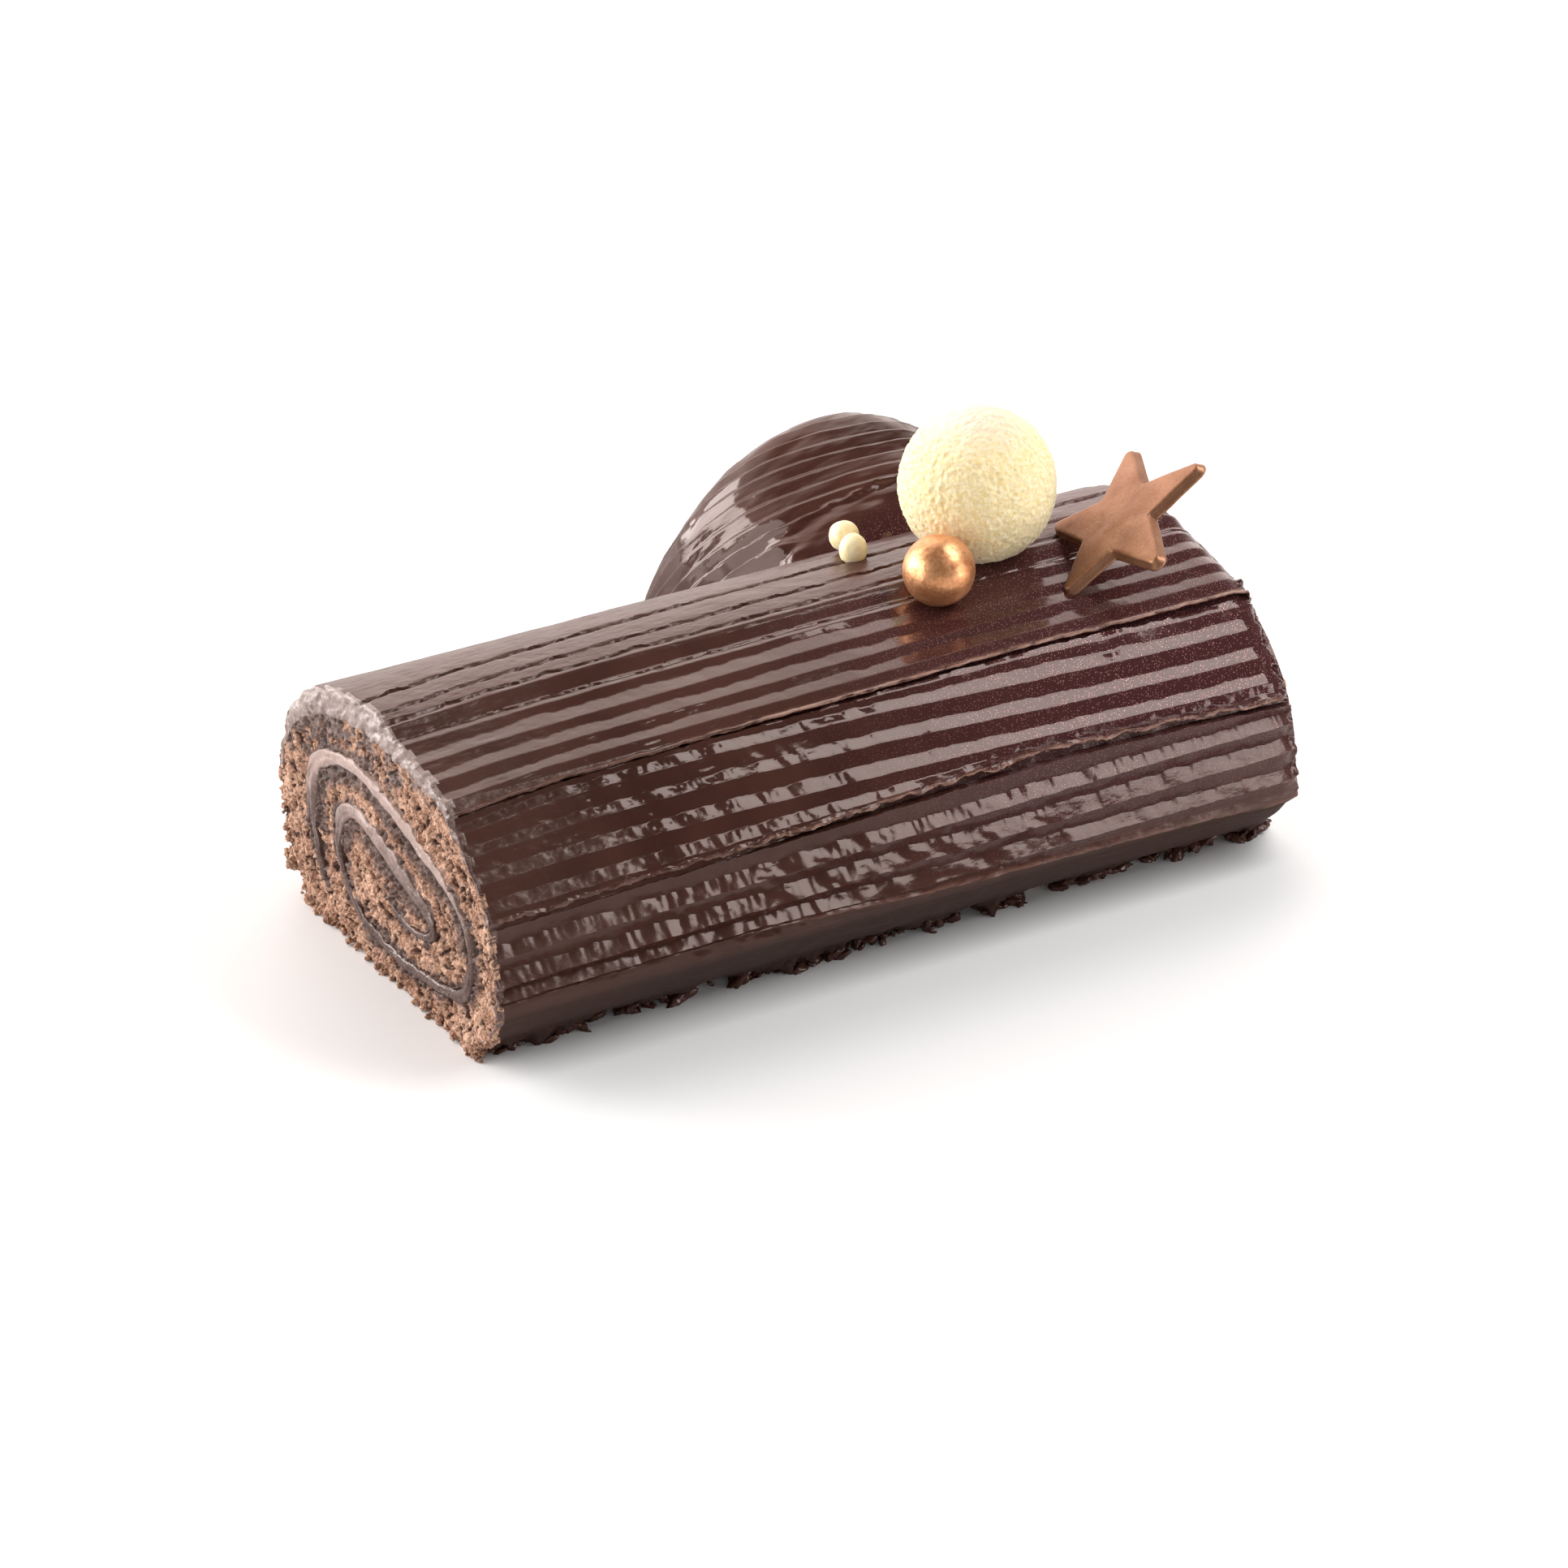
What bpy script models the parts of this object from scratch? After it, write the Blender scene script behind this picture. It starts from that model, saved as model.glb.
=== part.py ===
"""Yule log cake: a rolled chocolate sponge with cream filling, combed chocolate icing, an iced branch
stump behind it, and a snow ball, a gold pearl, a gold star and two small pearls set into the icing.

Metres, +Z up. The log lies along X with its open cut end at -X; the origin is the middle of its underside.
"""

import math

import bmesh
import bpy
import numpy as np
from mathutils import Matrix, Vector

GAP = 0.0003  # clearance between neighbouring pieces

# Rolled log
LOG_LENGTH = 0.210
HALF_WIDTH = 0.0533
MIDDLE_Y = 0.0009
BELLY_Z = 0.021  # height of the widest line
CROWN_RISE = 0.043  # belly line to crown
BELLY_DROP = 0.030  # lower curve, cut off flat by the plate
CROWN_POWER = 2.25
BACK_RISE = 0.055  # the roll sits slightly higher at the back
OUTLINE_STEPS = 900

# Icing coat
ICING_THICK = 0.0046
ICING_FOOT_THICK = 0.0024
FOOT_LENGTH = 0.018  # the coat thins towards both feet over this length
FOOT_CLEAR = 0.0008
RIB_PITCH = 0.0072
RIB_HEIGHT = 0.0012
EDGE_RISE = 0.0010  # raised edge of each ribbon
EDGE_REACH = 0.006
RIM_ROUND = 0.005  # icing rounds over the far rim
SWELL_HEIGHT = 0.0018  # icing banked up against the stump
SWELL_AT = (0.036, 0.124)
SWELL_SIZE = (0.034, 0.008)
# Ribbon edges: distance round the coat from the front foot at the cut end and at the far end, and
# +1 where the upper ribbon stands proud or -1 where the lower one does
RIBBON_EDGES = (
    (0.0255, 0.0215, -1),
    (0.0440, 0.0465, -1),
    (0.0710, 0.0740, +1),
    (0.1020, 0.1055, +1),
    (0.1225, 0.1305, +1),
    (0.1560, 0.1480, -1),
    (0.1800, 0.1780, +1),
)
ICING_STATIONS = 15
ICING_STEPS = 112
INNER_STEPS = 40

# Filling spiral: winding angle in degrees, then half width and half height of the cream line
SPIRAL_CENTRE = (0.0004, 0.0265)
SPIRAL = (
    (-42, 0.0400, 0.0190),
    (90, 0.0388, 0.0176),
    (225, 0.0385, 0.0182),
    (360, 0.0258, 0.0115),
    (540, 0.0215, 0.0068),
    (690, 0.0135, 0.0070),
)
SPIRAL_STEP = 9
CREAM_THICK = 0.0031

# Branch stump
STUMP_CENTRE = (0.0628, 0.0688)
STUMP_TURN = math.radians(-5.5)
STUMP_LEFT = 0.0582
STUMP_RIGHT = 0.0430
STUMP_DEPTH = 0.0474
STUMP_HEIGHT = 0.0650
STUMP_SUNK = 0.0066  # the widest line lies this far below the plate
STUMP_POWERS = (2.13, 4.13, 1.71)  # sideways, front to back, upwards
STUMP_RIB_PITCH = 0.0060
STUMP_RIB_HEIGHT = 0.0012
STUMP_RIB_BEND = 12.7  # ribs curve back towards their ends, in 1/m
STUMP_ROWS = 48
STUMP_COLUMNS = 20

# Decorations
BALL_RADIUS = 0.0184
BALL_AT = (0.0538, 0.0101, 0.0809)
GOLD_PEARL_RADIUS = 0.00835
GOLD_PEARL_AT = (0.0335, -0.0065, 0.0709)
FRONT_PEARL_RADIUS = 0.0033
FRONT_PEARL_AT = (0.0270, 0.0210, 0.0655)
BACK_PEARL_RADIUS = 0.0036
BACK_PEARL_AT = (0.0287, 0.0280, 0.0663)
STAR_AT = (0.0785, -0.0112, 0.0753)
STAR_FACES = math.radians(167.7)  # compass direction that its face leans towards
STAR_LEAN = math.radians(40.5)
STAR_SPIN = math.radians(-124.8)
STAR_ARMS = (0.0215, 0.0232, 0.0240, 0.0210, 0.0202)
STAR_WAIST = 0.0103
STAR_THICK = 0.0026
STAR_DRAFT = 0.0010
STAR_TIP = 0.0016


def clear_scene():
    for obj in list(bpy.data.objects):
        bpy.data.objects.remove(obj)


def material(name, colour, roughness, metallic=0.0):
    mat = bpy.data.materials.new(name)
    mat.use_nodes = True
    shader = mat.node_tree.nodes["Principled BSDF"]
    shader.inputs["Base Color"].default_value = (*colour, 1)
    shader.inputs["Roughness"].default_value = roughness
    shader.inputs["Metallic"].default_value = metallic
    mat.diffuse_color = (*colour, 1)
    return mat


def add_mesh(name, points, faces, mat=None, smooth=True):
    mesh = bpy.data.meshes.new(name)
    mesh.from_pydata([tuple(map(float, p)) for p in points], [], faces)
    work = bmesh.new()
    work.from_mesh(mesh)
    bmesh.ops.remove_doubles(work, verts=work.verts, dist=1e-6)
    bmesh.ops.recalc_face_normals(work, faces=work.faces)
    for face in work.faces:
        face.smooth = smooth
    work.to_mesh(mesh)
    work.free()
    obj = bpy.data.objects.new(name, mesh)
    bpy.context.scene.collection.objects.link(obj)
    if mat:
        mesh.materials.append(mat)
    return obj


def cut(obj, cutter):
    """Takes the hidden cutter away from the object."""
    cutter.hide_render = True
    cutter.display_type = "WIRE"
    modifier = obj.modifiers.new("cut_" + cutter.name, "BOOLEAN")
    modifier.operation = "DIFFERENCE"
    modifier.solver = "EXACT"
    modifier.object = cutter


def prism(name, profile, x_start, x_end, mat=None):
    """Solid with a (y, z) profile between two planes across the log."""
    count = len(profile)
    points = [(x, y, z) for x in (x_start, x_end) for y, z in profile]
    sides = [(i, (i + 1) % count, count + (i + 1) % count, count + i) for i in range(count)]
    caps = [tuple(range(count)), tuple(range(count, 2 * count))]
    return add_mesh(name, points, sides + caps, mat, smooth=False)


# ---- Outline of the iced roll, as points and outward normals by distance from the front foot


def outline_points():
    rise = np.linspace(0, math.pi, OUTLINE_STEPS)
    across = -np.sign(np.cos(rise)) * np.abs(np.cos(rise)) ** (2 / CROWN_POWER)
    upward = np.abs(np.sin(rise)) ** (2 / CROWN_POWER)
    upper = np.stack([MIDDLE_Y + HALF_WIDTH * across, BELLY_Z + CROWN_RISE * upward], 1)
    drop = np.linspace(math.asin(BELLY_Z / BELLY_DROP), 0, OUTLINE_STEPS // 6)[:-1]
    height = BELLY_Z - BELLY_DROP * np.sin(drop)
    front = np.stack([MIDDLE_Y - HALF_WIDTH * np.cos(drop), height], 1)
    back = np.stack([MIDDLE_Y + HALF_WIDTH * np.cos(drop), height], 1)[::-1]
    path = np.vstack([front, upper, back])
    path[:, 1] += BACK_RISE * path[:, 0] * np.clip(path[:, 1] / BELLY_Z, 0, 1)
    return path


OUTLINE = outline_points()
OUTLINE_AT = np.concatenate([[0], np.cumsum(np.hypot(*np.diff(OUTLINE, axis=0).T))])
GIRTH = OUTLINE_AT[-1]


def on_outline(s):
    """(y, z) points and outward normals at distances s."""
    y, z = (np.interp(s, OUTLINE_AT, OUTLINE[:, k]) for k in (0, 1))
    step = 0.0012
    ahead, behind = np.minimum(s + step, GIRTH), np.maximum(s - step, 0)
    dy, dz = (
        np.interp(ahead, OUTLINE_AT, OUTLINE[:, k]) - np.interp(behind, OUTLINE_AT, OUTLINE[:, k])
        for k in (0, 1)
    )
    length = np.hypot(dy, dz)
    return np.stack([y, z], 1), np.stack([-dz / length, dy / length], 1)


def coat_thickness(s):
    near = np.clip(np.minimum(s, GIRTH - s) / FOOT_LENGTH, 0, 1)
    return ICING_FOOT_THICK + (ICING_THICK - ICING_FOOT_THICK) * np.sin(near * math.pi / 2)


def offset_outline(s, offset):
    points, normals = on_outline(s)
    moved = points + normals * np.asarray(offset)[..., None]
    return np.stack([moved[:, 0], np.maximum(moved[:, 1], 0)], 1)


def ribbon_edges(x):
    along = x / LOG_LENGTH + 0.5
    return [(a + (b - a) * along, side) for a, b, side in RIBBON_EDGES]


def coat_relief(s, x):
    """Height of ribs and ribbon edges over the plain outline."""
    edges = ribbon_edges(x)
    starts = np.array([0.0] + [at for at, _ in edges])
    from_edge = s - starts[np.searchsorted(starts, s, side="right") - 1]
    rib = 0.5 - 0.5 * np.cos(2 * math.pi * from_edge / RIB_PITCH)
    relief = RIB_HEIGHT * (rib - 0.5) * np.where(s < starts[1], 0.3, 1.0)
    for at, side in edges:
        behind = (s - at) * side
        relief += np.where(behind >= 0, EDGE_RISE * np.exp(-behind / EDGE_REACH), 0)
    swell = ((x - SWELL_AT[0]) / SWELL_SIZE[0]) ** 2 + ((s - SWELL_AT[1]) / SWELL_SIZE[1]) ** 2
    return relief + SWELL_HEIGHT * np.exp(-swell)


# ---- Roll


def spiral_line(angle):
    table = np.array(SPIRAL)
    wide, tall = (np.interp(angle, table[:, 0], table[:, k]) for k in (1, 2))
    turn = np.radians(angle)
    return np.stack(
        [SPIRAL_CENTRE[0] + wide * np.cos(turn), SPIRAL_CENTRE[1] + tall * np.sin(turn)], 1
    )


def spiral_band(thickness, lengthen=0.0):
    """Closed outline of a band of this thickness that follows the filling."""
    angle = np.arange(SPIRAL[0][0], SPIRAL[-1][0] + 1, SPIRAL_STEP / 3)
    line = spiral_line(angle)
    kernel = np.ones(7) / 7
    line[3:-3] = np.stack([np.convolve(line[:, k], kernel, "valid") for k in (0, 1)], 1)
    line = line[::3]
    along = np.gradient(line, axis=0)
    along /= np.hypot(*along.T)[:, None]
    line[0] -= along[0] * lengthen
    line[-1] += along[-1] * lengthen
    side = np.stack([-along[:, 1], along[:, 0]], 1) * thickness / 2
    return np.vstack([line + side, (line - side)[::-1]])


def build_sponge(mat):
    s = np.linspace(FOOT_CLEAR, GIRTH - FOOT_CLEAR, INNER_STEPS)
    profile = offset_outline(s, -coat_thickness(s) - GAP)
    feet = [(profile[-1, 0], 0.0), (profile[0, 0], 0.0)]
    profile = np.vstack([profile, feet])
    half = LOG_LENGTH / 2
    sponge = prism("sponge_roll", profile, -half, half, mat)
    channel = prism(
        "filling_channel", spiral_band(CREAM_THICK + 2 * GAP, GAP), -half - 0.01, half + 0.01
    )
    cut(sponge, channel)
    return sponge


def build_filling(mat):
    half = LOG_LENGTH / 2
    return prism("cream_filling", spiral_band(CREAM_THICK), -half, half, mat)


def coat_station(x, extra=0.0):
    """Outer (y, z) points of the coat at x, with the far rim rounded over."""
    s = np.linspace(FOOT_CLEAR, GIRTH - FOOT_CLEAR, ICING_STEPS)
    past = max(0.0, x - (LOG_LENGTH / 2 - RIM_ROUND)) / RIM_ROUND
    sink = RIM_ROUND * 0.62 * (1 - math.sqrt(max(0.0, 1 - past * past)))
    height = coat_relief(s, x) + extra - sink
    return offset_outline(s, np.maximum(height, -coat_thickness(s) * 0.75))


def build_icing(mat):
    half = LOG_LENGTH / 2
    body = np.linspace(-half, half - RIM_ROUND, ICING_STATIONS - 3)
    rim = half - RIM_ROUND * (1 - np.sin(np.radians([32, 62, 88])))
    stations = np.concatenate([body, rim])
    s_inner = np.linspace(GIRTH - FOOT_CLEAR, FOOT_CLEAR, INNER_STEPS)
    inner = offset_outline(s_inner, -coat_thickness(s_inner))
    inner[:, 1] = np.maximum(inner[:, 1], FOOT_CLEAR)
    points = []
    for x in stations:
        outer = coat_station(x)
        outer[:, 1] = np.maximum(outer[:, 1], FOOT_CLEAR)
        points += [(x, y, z) for y, z in np.vstack([outer, inner])]
    ring = ICING_STEPS + INNER_STEPS
    faces = []
    for k in range(len(stations) - 1):
        for i in range(ring):
            j = (i + 1) % ring
            faces.append((k * ring + i, k * ring + j, (k + 1) * ring + j, (k + 1) * ring + i))
    last = (len(stations) - 1) * ring
    faces += [tuple(range(ring)), tuple(range(last, last + ring))]
    return add_mesh("chocolate_icing", points, faces, mat)


# ---- Branch stump


def stump_reach(start, bend, side):
    """Sideways distance at which a rib line meets the plate."""
    width = STUMP_LEFT if side < 0 else STUMP_RIGHT
    n, m, k = STUMP_POWERS
    limit = 1 - (STUMP_SUNK / (STUMP_HEIGHT + STUMP_SUNK)) ** k
    low, high = 0.0, width
    for _ in range(40):
        middle = (low + high) / 2
        back = start + bend * middle * middle
        inside = (middle / width) ** n + abs(back / STUMP_DEPTH) ** m < limit
        low, high = (middle, high) if inside else (low, middle)
    return low


def stump_height(u, v):
    n, m, k = STUMP_POWERS
    width = STUMP_LEFT if u < 0 else STUMP_RIGHT
    left = 1 - abs(u / width) ** n - abs(v / STUMP_DEPTH) ** m
    tall = STUMP_HEIGHT + STUMP_SUNK
    return max(0.0, tall * max(left, 0.0) ** (1 / k) - STUMP_SUNK)


def stump_rows():
    """Rows of points along the ribs, front to back, each from the left foot over to the right foot."""
    rows = []
    tau = np.linspace(-math.pi / 2, math.pi / 2, STUMP_COLUMNS + 1)
    for start in np.linspace(-0.985, 0.985, STUMP_ROWS) * STUMP_DEPTH:
        ease = min(1.0, max(0.0, (start + STUMP_DEPTH) / (STUMP_DEPTH * 0.4)))
        bend = STUMP_RIB_BEND * ease * ease * (3 - 2 * ease)
        reach = {side: stump_reach(start, bend, side) for side in (-1, 1)}
        row = []
        for t in tau:
            u = math.sin(t) * reach[-1 if t < 0 else 1]
            v = start + bend * u * u
            foot = abs(t) > math.pi / 2 - 1e-6
            row.append((u, v, 0.0 if foot else stump_height(u, v), start))
        rows.append(row)
    return rows


def build_stump(mat):
    rows = stump_rows()
    grid = np.array(rows)
    place = grid[..., :3]
    down = np.gradient(place, axis=0)
    across = np.gradient(place, axis=1)
    normal = np.cross(across, down)
    normal /= np.linalg.norm(normal, axis=2, keepdims=True) + 1e-12
    phase = 2 * math.pi * (grid[..., 3] - 0.013) / STUMP_RIB_PITCH
    height = STUMP_RIB_HEIGHT * (0.5 * np.cos(phase) - 0.5)
    height *= np.clip((STUMP_DEPTH * 0.93 - np.abs(grid[..., 3])) / 0.004, 0, 1)
    height[:, [0, -1]] *= 0.5
    place = place + normal * height[..., None]
    place[:, [0, -1], 2] = 0
    turn = np.array(Matrix.Rotation(STUMP_TURN, 3, "Z"))
    points = place.reshape(-1, 3) @ turn.T + np.array([*STUMP_CENTRE, 0])
    wide = STUMP_COLUMNS + 1
    faces = []
    for i in range(STUMP_ROWS - 1):
        for j in range(STUMP_COLUMNS):
            a = i * wide + j
            faces.append((a, a + 1, a + wide + 1, a + wide))
    left = [i * wide for i in range(STUMP_ROWS)]
    right = [i * wide + STUMP_COLUMNS for i in range(STUMP_ROWS)]
    faces.append(tuple(left + right[::-1]))
    faces.append(tuple(range(wide)))
    faces.append(tuple((STUMP_ROWS - 1) * wide + j for j in range(wide)))
    stump = add_mesh("branch_stump", points, faces, mat)
    cut(stump, build_log_envelope())
    return stump


def build_log_envelope():
    """The iced log grown by the gap and squared off below its back, to fit the stump against it."""
    half = LOG_LENGTH / 2
    points = []
    stations = np.linspace(-half, half, 9)
    count = 40
    s = np.linspace(0, GIRTH, count)
    for x in stations:
        swell = np.exp(
            -(((x - SWELL_AT[0]) / SWELL_SIZE[0]) ** 2) - ((s - SWELL_AT[1]) / SWELL_SIZE[1]) ** 2
        )
        grown = RIB_HEIGHT / 2 + EDGE_RISE + 2 * GAP + SWELL_HEIGHT * swell
        ring, normals = on_outline(s)
        ring = ring + normals * grown[:, None]
        belly = (s > GIRTH / 2) & (ring[:, 1] < BELLY_Z)
        ring[belly, 0] = ring[:, 0].max()
        ring[0, 1] = ring[-1, 1] = -0.01
        wide = x + math.copysign(GAP, x) if abs(x) > half - 1e-6 else x
        points += [(wide, y, z) for y, z in ring]
    faces = []
    for k in range(len(stations) - 1):
        for i in range(count):
            j = (i + 1) % count
            faces.append((k * count + i, k * count + j, (k + 1) * count + j, (k + 1) * count + i))
    last = (len(stations) - 1) * count
    faces += [tuple(range(count)), tuple(range(last, last + count))]
    return add_mesh("log_envelope", points, faces)


# ---- Decorations


def build_ball(name, centre, radius, mat, segments, rings):
    mesh = bpy.data.meshes.new(name)
    work = bmesh.new()
    bmesh.ops.create_uvsphere(work, u_segments=segments, v_segments=rings, radius=radius)
    for face in work.faces:
        face.smooth = True
    work.to_mesh(mesh)
    work.free()
    obj = bpy.data.objects.new(name, mesh)
    obj.location = centre
    bpy.context.scene.collection.objects.link(obj)
    if mat:
        mesh.materials.append(mat)
    return obj


def star_ring(grow, height):
    """Outline of the star grown by a margin, with each arm ending in a rounded tip."""
    ring = []
    for arm, length in enumerate(STAR_ARMS):
        centre = -2 * math.pi * arm / 5
        for turn in (-70, -25, 25, 70):
            tip = length - STAR_TIP
            angle = centre + math.radians(-turn)
            radius = STAR_TIP + grow
            ring.append(
                (
                    tip * math.cos(centre) + radius * math.cos(angle),
                    tip * math.sin(centre) + radius * math.sin(angle),
                    height,
                )
            )
        notch = centre - math.pi / 5
        waist = STAR_WAIST + grow
        ring.append((waist * math.cos(notch), waist * math.sin(notch), height))
    return ring


def build_star(name, mat, grow=0.0):
    rings = [
        star_ring(grow - 0.0006, grow),
        star_ring(grow, grow - 0.0006),
        star_ring(grow + STAR_DRAFT, -STAR_THICK + 0.0004 - grow),
        star_ring(grow + STAR_DRAFT - 0.0004, -STAR_THICK - grow),
    ]
    count = len(rings[0])
    place = (
        Matrix.Translation(Vector(STAR_AT))
        @ Matrix.Rotation(STAR_FACES, 4, "Z")
        @ Matrix.Rotation(STAR_LEAN, 4, "Y")
        @ Matrix.Rotation(STAR_SPIN, 4, "Z")
    )
    points = [place @ Vector(p) for ring in rings for p in ring]
    faces = []
    for k in range(len(rings) - 1):
        for i in range(count):
            j = (i + 1) % count
            faces.append((k * count + i, k * count + j, (k + 1) * count + j, (k + 1) * count + i))
    last = (len(rings) - 1) * count
    faces += [tuple(range(count)), tuple(range(last, last + count))]
    return add_mesh(name, points, faces, mat, smooth=False)


def build_decorations(icing):
    ivory = material("velvet_white_chocolate", (0.80, 0.66, 0.36), 0.85)
    gold = material("gold_coating", (0.55, 0.27, 0.12), 0.35, 0.7)
    bronze = material("gold_chocolate", (0.45, 0.22, 0.10), 0.45, 0.4)
    pearl = material("cream_pearl", (0.82, 0.70, 0.42), 0.35)
    for name, centre, radius, mat, segments, rings in (
        ("snow_ball", BALL_AT, BALL_RADIUS, ivory, 30, 18),
        ("gold_pearl", GOLD_PEARL_AT, GOLD_PEARL_RADIUS, gold, 20, 12),
        ("small_pearl_front", FRONT_PEARL_AT, FRONT_PEARL_RADIUS, pearl, 14, 9),
        ("small_pearl_back", BACK_PEARL_AT, BACK_PEARL_RADIUS, pearl, 14, 9),
    ):
        build_ball(name, centre, radius, mat, segments, rings)
        cut(icing, build_ball(name + "_seat", centre, radius + GAP, None, segments, rings))
    build_star("gold_star", bronze)
    cut(icing, build_star("gold_star_seat", None, GAP))


def build_cake():
    build_sponge(material("cocoa_sponge", (0.27, 0.12, 0.07), 0.9))
    build_filling(material("cocoa_cream", (0.10, 0.05, 0.04), 0.4))
    icing_mat = material("chocolate_glaze", (0.045, 0.018, 0.013), 0.25)
    icing = build_icing(icing_mat)
    build_stump(icing_mat)
    build_decorations(icing)


clear_scene()
build_cake()
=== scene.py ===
"""Yule log cake: a rolled cocoa sponge with cream, combed chocolate icing, an iced branch stump and
snow ball, pearl and star decorations. Lengths are in millimetres until a mesh is made."""
import itertools
import math

import bmesh
import bpy
import numpy as np
from mathutils import Matrix, Vector
from mathutils.geometry import delaunay_2d_cdt


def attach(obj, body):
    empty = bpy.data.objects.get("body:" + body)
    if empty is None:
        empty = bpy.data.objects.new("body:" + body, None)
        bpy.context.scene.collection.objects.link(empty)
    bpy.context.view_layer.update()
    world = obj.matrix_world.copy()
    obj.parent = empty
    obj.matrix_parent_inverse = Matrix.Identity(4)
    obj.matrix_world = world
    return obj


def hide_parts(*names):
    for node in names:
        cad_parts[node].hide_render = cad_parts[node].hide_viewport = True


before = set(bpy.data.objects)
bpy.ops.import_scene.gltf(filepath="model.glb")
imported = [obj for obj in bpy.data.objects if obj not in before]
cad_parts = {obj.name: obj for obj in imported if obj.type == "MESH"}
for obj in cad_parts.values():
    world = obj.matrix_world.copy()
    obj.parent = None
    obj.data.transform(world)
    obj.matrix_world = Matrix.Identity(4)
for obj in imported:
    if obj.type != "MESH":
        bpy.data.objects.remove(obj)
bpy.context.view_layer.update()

# ---- Rolled sponge -------------------------------------------------------------------------------
# A soft cocoa sponge, baked as a sheet, spread with cream and rolled up. It is sliced square at both
# ends, so its open crumb shows there: dry and ragged outside, moist and dark along the cream.
LOG_END = 105.0
HALF_WIDTH, MIDDLE_Y, BELLY_Z, CROWN_RISE, BELLY_DROP = 53.3, 0.9, 21.0, 43.0, 30.0
CROWN_POWER, BACK_RISE = 2.25, 0.055
COAT, COAT_AT_FOOT, COAT_FOOT_LENGTH, FOOT_CLEAR = 4.6, 2.4, 18.0, 0.8
CRUMB_SPACING = 0.39
# The pore colour here is painted shade for the dark hollows of the crumb.
SPONGE_DRY, SPONGE_MOIST, SPONGE_PORE_SHADE = (0.27, 0.108, 0.052), (0.075, 0.032, 0.022), (0.045, 0.017, 0.011)
TORN_HOLES = ((-21.0, 44.5, 1.8, 1.2, 2.6), (-35.0, 33.5, 1.6, 1.3, 2.6), (28.5, 51.0, 1.6, 1.1, 2.4),
              (2.0, 15.5, 2.4, 1.3, 2.2), (8.0, 22.0, 1.8, 1.1, 2.2), (-12.0, 12.5, 2.6, 1.2, 2.0),
              (-28.0, 17.0, 1.9, 1.1, 2.0), (-6.0, 37.5, 1.5, 1.0, 2.0))


def chance(seed, *cells):
    """A repeatable random number from 0 to 1 for each whole-number cell."""
    mixed = np.uint64(7919 * seed + 12345)
    for cell, prime in zip(cells, (73856093, 19349663, 83492791)):
        mixed = mixed ^ (np.asarray(cell).astype(np.int64).astype(np.uint64) * np.uint64(prime))
        mixed = mixed * np.uint64(0x9E3779B97F4A7C15)
        mixed = mixed ^ (mixed >> np.uint64(29))
    return (mixed >> np.uint64(11)) / 2.0**53


def ripple(seed, *places):
    """Smooth random height from -1 to 1, with about one bump to each unit of its axes."""
    low = [np.floor(place) for place in places]
    ease = [part * part * part * (part * (part * 6 - 15) + 10) for part in map(np.subtract, places, low)]
    height = 0.0
    for corner in itertools.product((0, 1), repeat=len(places)):
        share = 1.0
        for far, part in zip(corner, ease):
            share = share * (part if far else 1 - part)
        height = height + share * chance(seed, *(cell + far for cell, far in zip(low, corner)))
    return 2 * height - 1


def rough(seed, *places, layers=3, fade=0.5):
    """Several ripples on each other, each finer and weaker than the last."""
    height, size, finer = 0.0, 1.0, 1.0
    for layer in range(layers):
        height = height + size * ripple(seed + 31 * layer, *(place * finer for place in places))
        size, finer = size * fade, finer * 2.07
    return height


def crumb_cells(seed, y, z):
    """Distance to the nearest crumb centre in crumb sizes, and a random number for that crumb."""
    nearest, number = np.full(y.shape, 9.0), np.zeros(y.shape)
    for dy, dz in itertools.product((-1, 0, 1), repeat=2):
        cy, cz = np.floor(y) + dy, np.floor(z) + dz
        away = np.hypot(cy + chance(seed, cy, cz) - y, cz + chance(seed + 1, cy, cz) - z)
        number = np.where(away < nearest, chance(seed + 2, cy, cz), number)
        nearest = np.minimum(nearest, away)
    return nearest, number


def soft_step(value, start, stop):
    """0 before start, 1 after stop and a smooth ease between them."""
    part = np.clip((value - start) / (stop - start), 0, 1)
    return part * part * (3 - 2 * part)


def roll_outline():
    """(y, z) outline of the iced roll from its front foot over the crown to its back foot."""
    rise = np.linspace(0, math.pi, 900)
    across = -np.sign(np.cos(rise)) * np.abs(np.cos(rise)) ** (2 / CROWN_POWER)
    upper = np.stack([MIDDLE_Y + HALF_WIDTH * across,
                      BELLY_Z + CROWN_RISE * np.abs(np.sin(rise)) ** (2 / CROWN_POWER)], 1)
    drop = np.linspace(math.asin(BELLY_Z / BELLY_DROP), 0, 150)[:-1]
    height = BELLY_Z - BELLY_DROP * np.sin(drop)
    front = np.stack([MIDDLE_Y - HALF_WIDTH * np.cos(drop), height], 1)
    back = np.stack([MIDDLE_Y + HALF_WIDTH * np.cos(drop), height], 1)[::-1]
    path = np.vstack([front, upper, back])
    path[:, 1] += BACK_RISE * path[:, 0] * np.clip(path[:, 1] / BELLY_Z, 0, 1)
    return path


ROLL = roll_outline()
ROLL_AT = np.concatenate([[0], np.cumsum(np.hypot(*np.diff(ROLL, axis=0).T))])
GIRTH = ROLL_AT[-1]


def on_roll(around, height=0.0):
    """(y, z) at a distance round the outline from its front foot and a height off it."""
    ahead, behind = np.minimum(around + 1.2, GIRTH), np.maximum(around - 1.2, 0)
    y, z = (np.interp(around, ROLL_AT, ROLL[:, k]) for k in (0, 1))
    dy, dz = (np.interp(ahead, ROLL_AT, ROLL[:, k]) - np.interp(behind, ROLL_AT, ROLL[:, k]) for k in (0, 1))
    size = np.hypot(dy, dz)
    return np.stack([y - dz / size * height, z + dy / size * height], -1)


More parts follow.
